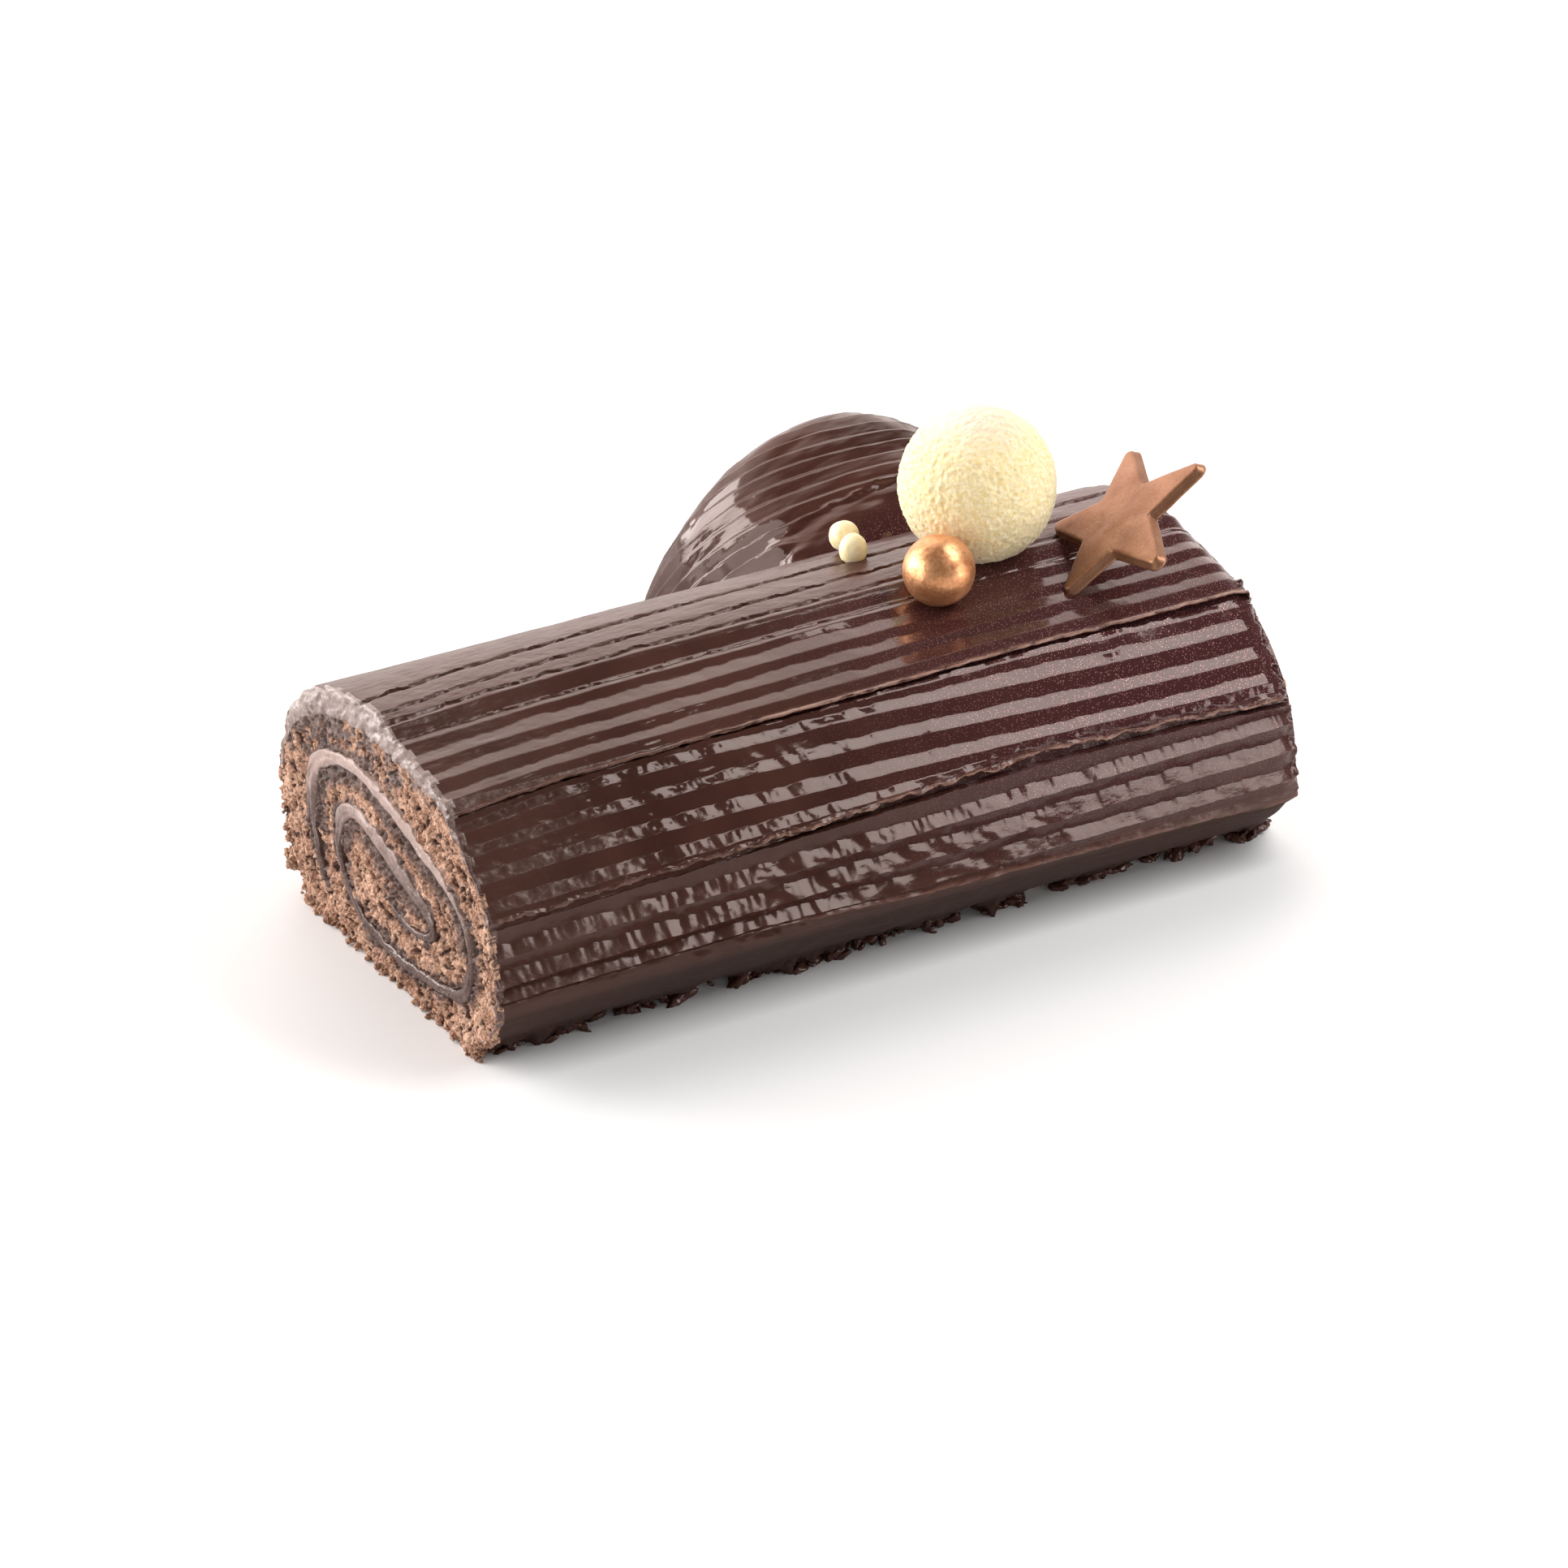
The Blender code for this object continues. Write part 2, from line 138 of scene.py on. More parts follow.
def coat_at(around):
    """Depth of the icing, thinner towards both feet."""
    near = np.clip(np.minimum(around, GIRTH - around) / COAT_FOOT_LENGTH, 0, 1)
    return COAT_AT_FOOT + (COAT - COAT_AT_FOOT) * np.sin(near * math.pi / 2)


class Wire:
    """One output of a shader node, so that a finish can be written as sums and products."""

    def __init__(self, tree, output=None):
        self.tree, self.output = tree, output

    def node(self, kind, settings=None, sockets=None, output=0):
        """Adds a node: its settings first, then the value or wire of each socket."""
        made = self.tree.nodes.new("ShaderNode" + kind)
        for name, value in (settings or {}).items():
            if name == "stops":
                ramp = made.color_ramp.elements
                while len(ramp) < len(value):
                    ramp.new(0.5)
                for stop, (at, colour) in zip(ramp, value):
                    stop.position, stop.color = at, (*colour, 1) if np.ndim(colour) else (colour,) * 3 + (1,)
            else:
                setattr(made, name, value)
        for name, value in (sockets or {}).items():
            if isinstance(value, Wire):
                self.tree.links.new(value.output, made.inputs[name])
            else:
                socket = made.inputs[name]
                colour = np.shape(value) == (3,) and len(socket.default_value) == 4
                socket.default_value = (*value, 1) if colour else value
        return Wire(self.tree, made.outputs[output])

    def math(self, operation, *values, clamp=False):
        return self.node("Math", {"operation": operation, "use_clamp": clamp}, dict(enumerate(values)))

    def __add__(self, other):
        return self.math("ADD", self, other)

    def __sub__(self, other):
        return self.math("SUBTRACT", self, other)

    def __rsub__(self, other):
        return self.math("SUBTRACT", other, self)

    def __mul__(self, other):
        return self.math("MULTIPLY", self, other)

    __radd__, __rmul__ = __add__, __mul__

    def ramp(self, start, stop):
        """0 below start, 1 above stop, eased."""
        return self.node("MapRange", {"interpolation_type": "SMOOTHSTEP"},
                         {"Value": self, "From Min": start, "From Max": stop})

    def blend(self, below, above):
        """Colour below where this wire is 0 and above where it is 1."""
        return self.node("Mix", {"data_type": "RGBA"}, {0: self, 6: below, 7: above}, output=2)

    def noise(self, scale, detail=2.0, roughness=0.5, stretch=(1, 1, 1)):
        """Noise over this wire's place, with about scale bumps to a millimetre."""
        place = self.node("VectorMath", {"operation": "MULTIPLY"}, {0: self, 1: stretch})
        return self.node("TexNoise", {}, {"Vector": place, "Scale": scale, "Detail": detail,
                                          "Roughness": roughness})

    def bump(self, height, strength=1.0):
        """Normal for a surface of this height, in millimetres."""
        return self.node("Bump", {}, {"Strength": strength, "Distance": 0.001, "Height": height})


def start_finish(name):
    """A new material: its shader, and a wire with the place on the cake in millimetres."""
    material = bpy.data.materials.new(name)
    material.use_nodes = True
    tree = material.node_tree
    shader = tree.nodes["Principled BSDF"]
    wire = Wire(tree)
    place = wire.node("VectorMath", {"operation": "MULTIPLY"},
                      {0: wire.node("TexCoord", output=3), 1: (1000, 1000, 1000)})
    return material, shader, place


def set_finish(shader, **values):
    """Sets sockets of the shader: a wire is linked, and anything else is set on the socket itself."""
    for name, value in values.items():
        socket = shader.inputs[name.replace("_", " ")]
        if isinstance(value, Wire):
            value.tree.links.new(value.output, socket)
        else:
            colour = np.shape(value) == (3,) and len(socket.default_value) == 4
            socket.default_value = (*value, 1) if colour else value


def sponge_finish():
    material, shader, place = start_finish("cocoa_sponge_crumb")
    moist = place.node("Attribute", {"attribute_name": "moist"}, output=2)
    deep = place.node("Attribute", {"attribute_name": "deep"}, output=2)
    grain = place.noise(1.6, 4.0, 0.7)
    patch = place.noise(0.16, 2.0)
    dry = (patch * 0.3 + grain * 0.7).ramp(0.36, 0.64).blend((0.165, 0.060, 0.028), (0.73, 0.46, 0.325))
    z = place.node("SeparateXYZ", {}, {0: place}, output=2)
    wet = grain.ramp(0.4, 0.65).blend(SPONGE_MOIST, (0.15, 0.080, 0.058))
    # Painted sheen: the wet crumb is painted lighter grey towards the top.
    wet = (z.ramp(40, 58) * grain.ramp(0.3, 0.6) * 0.85).blend(wet, (0.27, 0.185, 0.160))
    damp = (moist + (patch - 0.5) * 0.6 + (grain - 0.5) * 0.7).ramp(0.25, 0.75)
    # Pores and hollows get painted shade: the crumb is painted near black where it lies sunk in.
    colour = deep.ramp(0.05, 0.75).blend(damp.blend(dry, wet), SPONGE_PORE_SHADE)
    set_finish(shader, Base_Color=colour, Roughness=0.95 - damp * 0.82,
               Normal=place.bump(place.noise(2.6, 4.0, 0.8) * 0.34), Specular_IOR_Level=0.4)
    return material


def make_piece(name, points, faces, finish, node=None, crease=None, marks=None):
    """Mesh from points in millimetres and groups of faces; it rides on the cake and may replace a node."""
    mesh = bpy.data.meshes.new(name)
    groups = [np.atleast_2d(np.asarray(group, np.int64)) for group in faces]
    corners = np.concatenate([group.ravel() for group in groups]).astype(np.int32)
    sides = np.concatenate([np.full(len(group), group.shape[1]) for group in groups])
    mesh.vertices.add(len(points))
    mesh.vertices.foreach_set("co", (np.asarray(points) / 1000).astype(np.float32).ravel())
    mesh.loops.add(len(corners))
    mesh.loops.foreach_set("vertex_index", corners)
    mesh.polygons.add(len(sides))
    mesh.polygons.foreach_set("loop_start", (np.cumsum(sides) - sides).astype(np.int32))
    mesh.update(calc_edges=True)
    for mark, values in (marks or {}).items():
        mesh.attributes.new(mark, "FLOAT", "POINT").data.foreach_set("value", np.asarray(values, np.float32))
    work = bmesh.new()
    work.from_mesh(mesh)
    bmesh.ops.recalc_face_normals(work, faces=work.faces)
    for face in work.faces:
        face.smooth = True
    work.to_mesh(mesh)
    work.free()
    if crease:
        mesh.set_sharp_from_angle(angle=math.radians(crease))
    mesh.materials.append(finish)
    piece = bpy.data.objects.new(name, mesh)
    bpy.context.scene.collection.objects.link(piece)
    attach(piece, "root")
    if node:
        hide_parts(node)
    return piece


def inside(loops, y, z):
    """Which places lie within the outer loop and outside the inner ones."""
    odd = np.zeros(len(y), bool)
    for loop in loops:
        for (y0, z0), (y1, z1) in zip(loop, np.roll(loop, -1, axis=0)):
            if z0 != z1:
                odd ^= ((z0 > z) != (z1 > z)) & (y < (y1 - y0) * (z - z0) / (z1 - z0) + y0)
    return odd


def fill_face(loops, spacing, seed):
    """Loose triangle net over a flat region: its points, loops first, and its triangles."""
    edge = np.vstack(loops)
    low, high = edge.min(0), edge.max(0)
    rows = np.arange(low[1], high[1], spacing * 0.87)
    columns = np.arange(low[0], high[0], spacing)
    y, z = np.meshgrid(columns, rows)
    y = y + (np.arange(len(rows)) % 2)[:, None] * spacing / 2
    cell = np.indices(y.shape)
    y = (y + (chance(seed, *cell) - 0.5) * spacing * 0.6).ravel()
    z = (z + (chance(seed + 1, *cell) - 0.5) * spacing * 0.6).ravel()
    keep = inside(loops, y, z)
    y, z = y[keep], z[keep]
    apart = np.full(len(y), 1e9)
    for ey, ez in edge:
        near = np.abs(y - ey) < spacing
        apart[near] = np.minimum(apart[near], (y[near] - ey) ** 2 + (z[near] - ez) ** 2)
    keep = apart > (spacing * 0.55) ** 2
    points = np.vstack([edge, np.stack([y[keep], z[keep]], 1)])
    links, start = [], 0
    for loop in loops:
        count = len(loop)
        links += [(start + k, start + (k + 1) % count) for k in range(count)]
        start += count
    points, _, faces, *_ = delaunay_2d_cdt([Vector(p) for p in points], links, [], 0, 1e-7)
    points = np.array([tuple(p) for p in points])
    faces = np.array(faces)
    middle = points[faces].mean(1)
    return points, faces[inside(loops, middle[:, 0], middle[:, 1])]


def slice_solid(outlines, faces, stations, near, far):
    """Points and faces of a slice along X: two filled end faces with relief, joined by walls. Each outline
    is a list with the loop at every station; each face is its flat points, loops first, and triangles."""
    (near_flat, near_net), (far_flat, far_net) = faces
    count = len(near_flat)
    points = [np.column_stack([-LOG_END + near, near_flat]), np.column_stack([LOG_END - far, far_flat])]
    groups, rim, start = [near_net, far_net[:, ::-1] + count], count + len(far_flat), 0
    for outline in outlines:
        size = len(outline[0])
        rings = [start + np.arange(size)]
        for x, loop in zip(stations, outline):
            points.append(np.column_stack([np.full(size, x), loop]))
            rings.append(rim + np.arange(size))
            rim += size
        rings.append(count + start + np.arange(size))
        for one, other in zip(rings, rings[1:]):
            groups.append(np.stack([one, np.roll(one, -1), np.roll(other, -1), other], 1))
        start += size
    return np.vstack(points), groups


# Cream line from the outer end of the roll to its middle: y, z and thickness
CREAM_LINE = ((32.5, 11.0, 2.0), (35.0, 15.0, 3.0), (37.2, 20.5, 3.8), (38.5, 26.5, 4.3), (38.3, 32.5, 4.4),
              (36.2, 38.0, 4.6), (31.0, 42.2, 4.0), (23.5, 45.0, 3.2), (15.0, 46.3, 3.0), (5.5, 45.5, 3.0),
              (-4.5, 43.3, 3.6), (-14.5, 40.6, 3.4), (-24.5, 37.7, 2.5), (-32.8, 34.0, 2.2),
              (-37.4, 28.8, 2.8), (-38.5, 23.5, 3.3), (-38.0, 18.0, 3.4), (-34.5, 12.8, 3.6),
              (-27.5, 10.0, 3.0), (-17.5, 8.2, 2.8), (-4.5, 6.9, 2.5), (7.5, 7.4, 2.8), (16.5, 10.2, 3.0),
              (22.5, 16.5, 3.0), (25.3, 23.5, 3.4), (23.8, 30.0, 4.8), (18.8, 34.0, 3.4), (11.0, 34.2, 3.2),
              (1.5, 31.6, 5.2), (-7.5, 28.8, 5.2), (-15.5, 26.0, 4.0), (-21.0, 22.6, 2.8),
              (-17.6, 19.2, 2.4), (-9.5, 17.6, 2.0), (-1.5, 19.2, 1.6))


def through(points, spacing):
    """Smooth curve through points, sampled evenly."""
    points = np.array(points, float)
    ends = np.vstack([2 * points[0] - points[1], points, 2 * points[-1] - points[-2]])
    part = np.linspace(0, 1, 12, endpoint=False)[:, None]
    pieces = []
    for a, b, c, d in zip(ends, ends[1:], ends[2:], ends[3:]):
        pieces.append(0.5 * (2 * b + (c - a) * part + (2 * a - 5 * b + 4 * c - d) * part**2
                             + (3 * b - a - 3 * c + d) * part**3))
    curve = np.vstack(pieces + [points[-1:]])
    at = np.concatenate([[0], np.cumsum(np.hypot(*np.diff(curve[:, :2], axis=0).T))])
    even = np.linspace(0, at[-1], int(at[-1] / spacing) + 1)
    return np.stack([np.interp(even, at, column) for column in curve.T], 1)


def cream_band(clearance):
    """Closed outline of the cream, with wavering sides and rounded ends."""
    line = through(CREAM_LINE, 0.55)
    way = np.gradient(line[:, :2], axis=0)
    way /= np.hypot(*way.T)[:, None]
    side = np.stack([-way[:, 1], way[:, 0]], 1)
    along = np.arange(len(line)) * 0.55
    half = [line[:, 2] / 2 + 0.35 * rough(seed, along / 3.1) + clearance for seed in (11, 12)]
    for width in half:
        width *= np.sqrt(np.clip(np.minimum(along + 0.15, along[-1] - along + 0.15) / 1.2, 0, 1))
    return np.vstack([line[:, :2] + side * half[0][:, None], (line[:, :2] - side * half[1][:, None])[::-1]])


def along_cream(y, z):
    """Distance along the cream line, distance across it and the half width of the cream there."""
    line = through(CREAM_LINE, 0.8)
    way = np.gradient(line[:, :2], axis=0)
    way /= np.hypot(*way.T)[:, None]
    best, nearest = np.full(len(y), 1e9), np.zeros(len(y), int)
    for number, (cy, cz, _) in enumerate(line):
        apart = (y - cy) ** 2 + (z - cz) ** 2
        nearest = np.where(apart < best, number, nearest)
        best = np.minimum(best, apart)
    across = way[nearest, 0] * (z - line[nearest, 1]) - way[nearest, 1] * (y - line[nearest, 0])
    return nearest * 0.8, np.where(across < 0, -1, 1) * np.sqrt(best), line[nearest, 2] / 2


def crumb_relief(seed, y, z, wet):
    """How far the crumb is sunk below the flat cut, and how much painted shade each place gets inside a pore or
    hollow.
    """
    warp_y, warp_z = y + 0.7 * ripple(seed, y / 0.9, z / 0.9), z + 0.7 * ripple(seed + 1, y / 0.9, z / 0.9)
    bent_y, bent_z = y + 1.4 * ripple(seed, y / 2.1, z / 2.1), z + 1.4 * ripple(seed + 1, y / 2.1, z / 2.1)
    lump, lump_number = crumb_cells(seed + 2, warp_y / 1.15, warp_z / 1.15)
    clump, clump_number = crumb_cells(seed + 3, bent_y / 3.6, bent_z / 3.6)
    pore, number = crumb_cells(seed + 5, bent_y / 2.7, bent_z / 2.0)
    small, small_number = crumb_cells(seed + 8, y / 0.78, z / 0.78)
    hole = (1 - soft_step(pore, 0.10, 0.16 + 0.34 * number)) * (number > 0.62)
    sunk = 0.75 * lump**1.6 + 0.75 * lump_number + 0.60 * clump**2 + 0.75 * clump_number
    sunk += 1.0 * hole + 0.35 * small**1.5 + 0.25 * small_number
    sunk += 0.45 * rough(seed + 20, y / 6.0, z / 6.0)
    sunk = sunk * (1 - 0.25 * wet) + 0.55 * wet * rough(seed + 22, y / 1.0, z / 1.0) - 0.2
    # Painted shade: hollows between lumps and pores are marked to be painted darker.
    low = 0.95 * soft_step(lump, 0.42, 0.9) + 0.6 * (lump_number - 0.55) + 0.5 * (clump_number - 0.5)
    return sunk, np.clip(0.8 * hole + low, 0, 1)


# How much of the icing shows at the cut, by distance round the roll: the crumb covers the rest of it
CUT_AROUND = (0, 12, 30, 45, 58, 70, 84, 93, 110, 140, 152, 162, 172, 190, 215)
CUT_ICING = (0.0, 0.2, 0.8, 1.1, 1.5, 2.1, 3.1, 4.6, 5.6, 5.6, 4.2, 1.8, 0.2, -0.2, -0.2)


def moisture(y, z):
    """How moist the crumb is: soaked along the cream and under the icing, in patches."""
    _, across, half = along_cream(y, z)
    gap = np.clip(np.abs(across) - half, 0, None)
    outside = (across > 0) & (z > 22) & (y > -34)
    patchy = np.clip(np.where(outside, 1.3, 0.75) + 0.75 * rough(40, y / 4.5, z / 4.5), 0, 1)
    wet = np.exp(-((gap / np.where(outside, 5.4, 2.4)) ** 1.7)) * patchy
    smeared = soft_step(z + 0.25 * y + 3 * rough(41, y / 4, z / 4), 42, 54) * 0.85
    return np.maximum(wet, smeared * np.clip(0.6 + 0.6 * rough(42, y / 2.5, z / 2.5), 0, 1))


def build_sponge():
    around = np.arange(FOOT_CLEAR, GIRTH - FOOT_CLEAR, 0.5)
    rim = on_roll(around, -coat_at(around) - 0.15)
    keep = rim[:, 1] > 0.4
    around, rim = around[keep], rim[keep]
    ragged = 0.55 * rough(30, around / 2.4, layers=4, fade=0.7) + 0.4 * np.abs(ripple(31, around / 5.5))
    wide = on_roll(around, -np.interp(around, CUT_AROUND, CUT_ICING) - ragged - 0.1)
    wide[:, 1] = np.maximum(wide[:, 1], 0.15)
    part = np.linspace(0, 1, int((rim[-1, 0] - rim[0, 0]) / 0.6))[1:-1, None]
    rings = []
    for ring in (wide, rim):
        floor = ring[-1] * (1 - part) + ring[0] * part
        floor[:, 1] = 0.05 + 0.35 * np.abs(rough(33, floor[:, 0] / 1.8)) if ring is wide else 0.0
        rings.append(np.vstack([ring, floor]))
    cream = cream_band(0.12)[::-1]
    faces, reliefs, wets, pore_shades = [], [], [], []
    for ring, spacing, seed in ((rings[0], CRUMB_SPACING, 50), (rings[1], 1.5 * CRUMB_SPACING, 150)):
        faces.append(fill_face([ring, cream], spacing, 3))
        y, z = faces[-1][0].T
        wet = moisture(y, z)
        sunk, deep = crumb_relief(seed, y, z, wet)
        for hy, hz, wide_hole, tall, depth in TORN_HOLES:
            torn = 1 - soft_step(np.hypot((y - hy) / wide_hole, (z - hz) / tall) + 0.35 * rough(60, y, z), 0.5, 1.1)
            sunk += depth * torn
            # The torn holes get painted shade too.
            deep = np.maximum(deep, torn)
        away = np.full(len(y), 1e9)
        for ry, rz in rings[1][::2]:
            away = np.minimum(away, (y - ry) ** 2 + (z - rz) ** 2)
        edge = np.where(~inside([rings[1]], y, z), 1.0, 1 - soft_step(np.sqrt(away), 0, 2.5))
        reliefs.append(sunk * (1 - 0.35 * edge) - 1.25 - 0.25 * edge)
        wets.append(wet)
        pore_shades.append(deep)
    stations = np.concatenate([[-104.6, -104.2, -101.5], np.linspace(-98, 98, 9), [101.5, 104.2]])
    outlines = [[rings[0]] + [rings[1]] * (len(stations) - 1), [cream] * len(stations)]
    points, groups = slice_solid(outlines, faces, stations, *reliefs)
    spare = np.zeros(len(points) - len(np.concatenate(wets)))
    marks = {"moist": np.concatenate(wets + [spare]), "deep": np.concatenate(pore_shades + [spare])}
    return make_piece("rolled_sponge", points, groups, sponge_finish(), "sponge_roll", marks=marks)


build_sponge()

# ---- Cream filling -------------------------------------------------------------------------------
# Soft chocolate buttercream, spread on the sheet before rolling. It runs the whole length of the log,
# and the knife has smeared it along the cut into smooth, slightly raised ribbons.


def cream_finish():
    material, shader, place = start_finish("cocoa_buttercream")
    smear = place.noise(0.35, 3.0, 0.6)
    z = place.node("SeparateXYZ", {}, {0: place}, output=2)
    # Painted light and shade: the cream is painted lighter towards the top and dark towards the bottom.
    upper = z.ramp(18, 44)
    tone = (smear * 0.5 + upper * 0.65).ramp(0.25, 1.0)
    colour = tone.blend((0.045, 0.018, 0.013), (0.30, 0.212, 0.185))
    set_finish(shader, Base_Color=colour, Roughness=0.10 + upper * 0.2 + smear * 0.16, Specular_Tint=(1.0, 0.85, 0.78),
               Normal=place.bump(place.noise(1.2, 3.0) * 0.16), Specular_IOR_Level=0.4)
    return material


def build_cream():
    loops = [cream_band(0.0)]
    face = fill_face(loops, 0.42, 5)
    y, z = face[0].T
    along, across, half = along_cream(y, z)
    relief = []
    for seed in (70, 170):
        streak = 0.16 * rough(seed, along / 9, across / 0.55) + 0.25 * rough(seed + 3, along / 6, across / 2.5)
        curl = 0.45 * np.clip(np.abs(across) / half, 0, 1.2) ** 3
        relief.append(streak + curl - 0.95)
    stations = np.linspace(-100, 100, 9)
    points, groups = slice_solid([[loops[0]] * len(stations)], (face, face), stations, *relief)
    return make_piece("cream_spiral", points, groups, cream_finish(), "cream_filling")


build_cream()

# ---- Chocolate icing -----------------------------------------------------------------------------
# Glossy chocolate icing, put on in long strokes with a toothed comb, so each stroke is a flat ribbon of
# sharp ribs. The ribbons overlap: their torn edges lap over the stroke before and leave small ledges.
STATIONS = (-105, -80, -40, 0, 40, 80, 105)
# Each line along a ribbon: height off the ribbon's flat, how far it wavers, number of steps to the next
# line, and its distances from the front foot at the stations. Lines go crest, valley, crest, valley.
SKIRT = (
    (-1.9, 0.0, 14, (0.8, 0.8, 0.8, 0.8, 0.8, 0.8, 0.8)),
    (-1.7, 0.5, 14, (8, 8, 8.5, 9, 9, 9, 9)),
    (-1.6, 0.2, 2, (18.8, 19.2, 19.4, 19.3, 18.6, 18.2, 17.4)),
    (-1.35, 0.2, 10, (19.6, 20.0, 20.2, 20.1, 19.4, 19.0, 18.2)),
    (-1.35, 0.12, 2, (25.0, 25.6, 25.9, 23.8, 23.0, 22.4, 20.8)),
    (0.30, 0.15, 3, (25.4, 26.0, 26.3, 24.2, 23.4, 22.8, 21.2)),
    (-0.10, 0.12, 3, (25.9, 26.4, 26.8, 25.1, 25.2, 24.9, 24.2)),
    (0.80, 0.10, 7, (26.3, 26.8, 27.2, 26.2, 26.7, 26.8, 26.6)),
    (-0.80, 0.22, 6, (28.3, 28.6, 29.0, 29.0, 29.1, 29.0, 28.8)),
    (1.0, 0.10, 9, (29.7, 30.4, 31.1, 31.9, 32.5, 33.2, 33.4)),
    (-1.0, 0.30, 8, (32.5, 33.2, 34.3, 35.5, 36.0, 36.2, 36.2)),
    (1.0, 0.10, 9, (36.2, 36.9, 37.5, 38.6, 39.3, 39.8, 39.9)),
    (-1.0, 0.30, 8, (39.0, 39.8, 40.9, 41.6, 42.3, 42.4, 42.2)),
    (0.55, 0.15, 3, (42.9, 43.6, 44.5, 45.5, 46.3, 45.4, 44.2)),
    (-0.6, 0.15, 2, (43.2, 43.9, 44.7, 45.6, 46.4, 45.4, 44.1)),
    (-2.3, 0.10, 2, (43.8, 44.5, 45.4, 46.4, 47.3, 46.3, 45.0)),
    (-1.9, 0.0, 0, (47.0, 47.6, 48.6, 49.6, 50.5, 49.5, 48.2)),
)
FRONT = (
    (0.15, 0.45, 2, (43.9, 44.6, 45.7, 47.0, 48.7, 46.9, 45.2)),
    (0.55, 0.40, 3, (44.3, 45.1, 46.2, 47.5, 49.1, 47.3, 45.6)),
    (0.15, 0.35, 4, (45.0, 45.8, 46.8, 48.0, 49.5, 47.7, 46.0)),
    (0.36, 0.10, 7, (46.8, 47.2, 47.7, 48.6, 49.9, 48.2, 46.6)),
    (-0.36, 0.22, 12, (49.2, 49.9, 50.5, 50.4, 50.7, 49.0, 47.6)),
    (0.36, 0.06, 8, (53.8, 54.4, 54.5, 53.6, 52.3, 50.9, 50.4)),
    (-0.36, 0.22, 12, (56.2, 57.1, 57.5, 56.8, 54.9, 53.3, 52.9)),
    (0.36, 0.06, 8, (60.4, 61.8, 62.2, 61.2, 59.0, 57.4, 57.0)),
    (-0.36, 0.22, 12, (62.4, 63.9, 64.3, 63.7, 61.9, 60.0, 59.6)),
    (0.36, 0.06, 8, (66.0, 68.1, 68.7, 68.2, 66.0, 64.6, 64.3)),
    (-0.36, 0.22, 6, (68.2, 70.3, 70.9, 70.4, 69.0, 67.1, 66.8)),
    (0.10, 0.1, 4, (69.7, 71.2, 72.0, 71.9, 71.8, 70.9, 70.6)),
    (-0.22, 0.25, 3, (70.2, 71.6, 72.4, 72.4, 72.8, 71.9, 71.4)),
    (-1.50, 0.1, 3, (70.7, 72.1, 72.9, 73.1, 73.3, 72.7, 72.2)),
    (-1.60, 0.0, 0, (73.5, 75.0, 75.9, 76.6, 76.8, 76.4, 76.0)),
)
CROWN = (
    (-0.35, 0.22, 1, (69.6, 71.3, 72.2, 73.1, 73.6, 73.3, 73.0)),
    (0.00, 0.15, 3, (69.9, 71.6, 72.5, 73.4, 73.9, 73.6, 73.3)),
    (-0.15, 0.10, 10, (70.5, 72.2, 73.1, 73.9, 74.4, 74.1, 73.8)),
    (0.26, 0.06, 9, (73.2, 75.6, 76.3, 77.1, 77.6, 77.7, 77.8)),
    (-0.26, 0.42, 11, (75.4, 78.4, 79.3, 80.6, 81.0, 81.1, 81.1)),
    (0.26, 0.06, 9, (80.0, 81.6, 82.4, 83.6, 84.3, 84.4, 84.4)),
    (-0.26, 0.42, 11, (82.8, 85.2, 86.2, 87.7, 87.8, 87.8, 87.8)),
    (0.26, 0.06, 10, (86.8, 88.3, 89.3, 90.7, 91.0, 91.0, 91.0)),
    (-0.34, 0.42, 9, (90.2, 92.6, 93.9, 95.2, 94.8, 94.4, 94.2)),
    (0.20, 0.08, 5, (94.6, 95.8, 96.8, 97.5, 97.8, 97.8, 97.8)),
    (-0.15, 0.20, 3, (96.4, 97.4, 98.2, 99.0, 99.2, 99.2, 99.2)),
    (0.12, 0.25, 2, (96.9, 97.9, 98.7, 99.5, 99.7, 99.7, 99.7)),
    (-0.20, 0.16, 10, (97.5, 98.6, 99.5, 100.4, 100.6, 100.6, 100.6)),
    (0.85, 0.05, 4, (101.0, 102.9, 104.3, 104.8, 105.1, 105.2, 105.2)),
    (0.60, 0.15, 3, (101.8, 104.0, 105.6, 106.1, 106.5, 106.6, 106.6)),
    (0.12, 0.60, 2, (102.4, 104.6, 106.2, 106.7, 107.1, 107.2, 107.2)),
    (0.62, 0.35, 12, (103.0, 105.2, 106.8, 107.3, 107.7, 107.8, 107.8)),
    (0.58, 0.30, 3, (105.7, 109.0, 111.1, 112.2, 113.1, 113.7, 113.7)),
    (-0.02, 0.65, 2, (106.5, 109.7, 111.8, 112.9, 113.8, 114.4, 114.4)),
    (0.60, 0.35, 12, (107.2, 110.5, 112.5, 113.6, 114.5, 115.1, 115.1)),
    (0.54, 0.30, 3, (113.0, 116.8, 119.7, 121.1, 121.9, 122.5, 122.5)),
    (-0.08, 0.65, 2, (113.8, 117.6, 120.6, 122.0, 122.8, 123.4, 123.4)),
    (0.58, 0.30, 9, (114.5, 118.4, 121.4, 122.8, 123.6, 124.2, 124.2)),
    (0.85, 0.15, 4, (121.0, 125.0, 127.6, 129.0, 130.0, 130.5, 130.5)),
    (-0.35, 0.20, 5, (123.0, 126.6, 128.8, 130.0, 131.0, 131.5, 131.5)),
    (0.10, 0.30, 6, (128.0, 129.6, 131.2, 132.0, 133.0, 133.5, 133.5)),
    (0.5, 0.20, 0, (133.0, 134.0, 134.5, 135.0, 136.0, 136.5, 136.5)),
)
BACK_RIBS = tuple(
    (height, wobble, steps, tuple(start + 7.0 * rib + 0.03 * (x + 105) * (1 - rib / 8) for x in STATIONS))
    for rib in range(9) for height, wobble, steps, start in ((0.45, 0.08, 6, 139.0), (-0.45, 0.25, 8, 142.6))
)
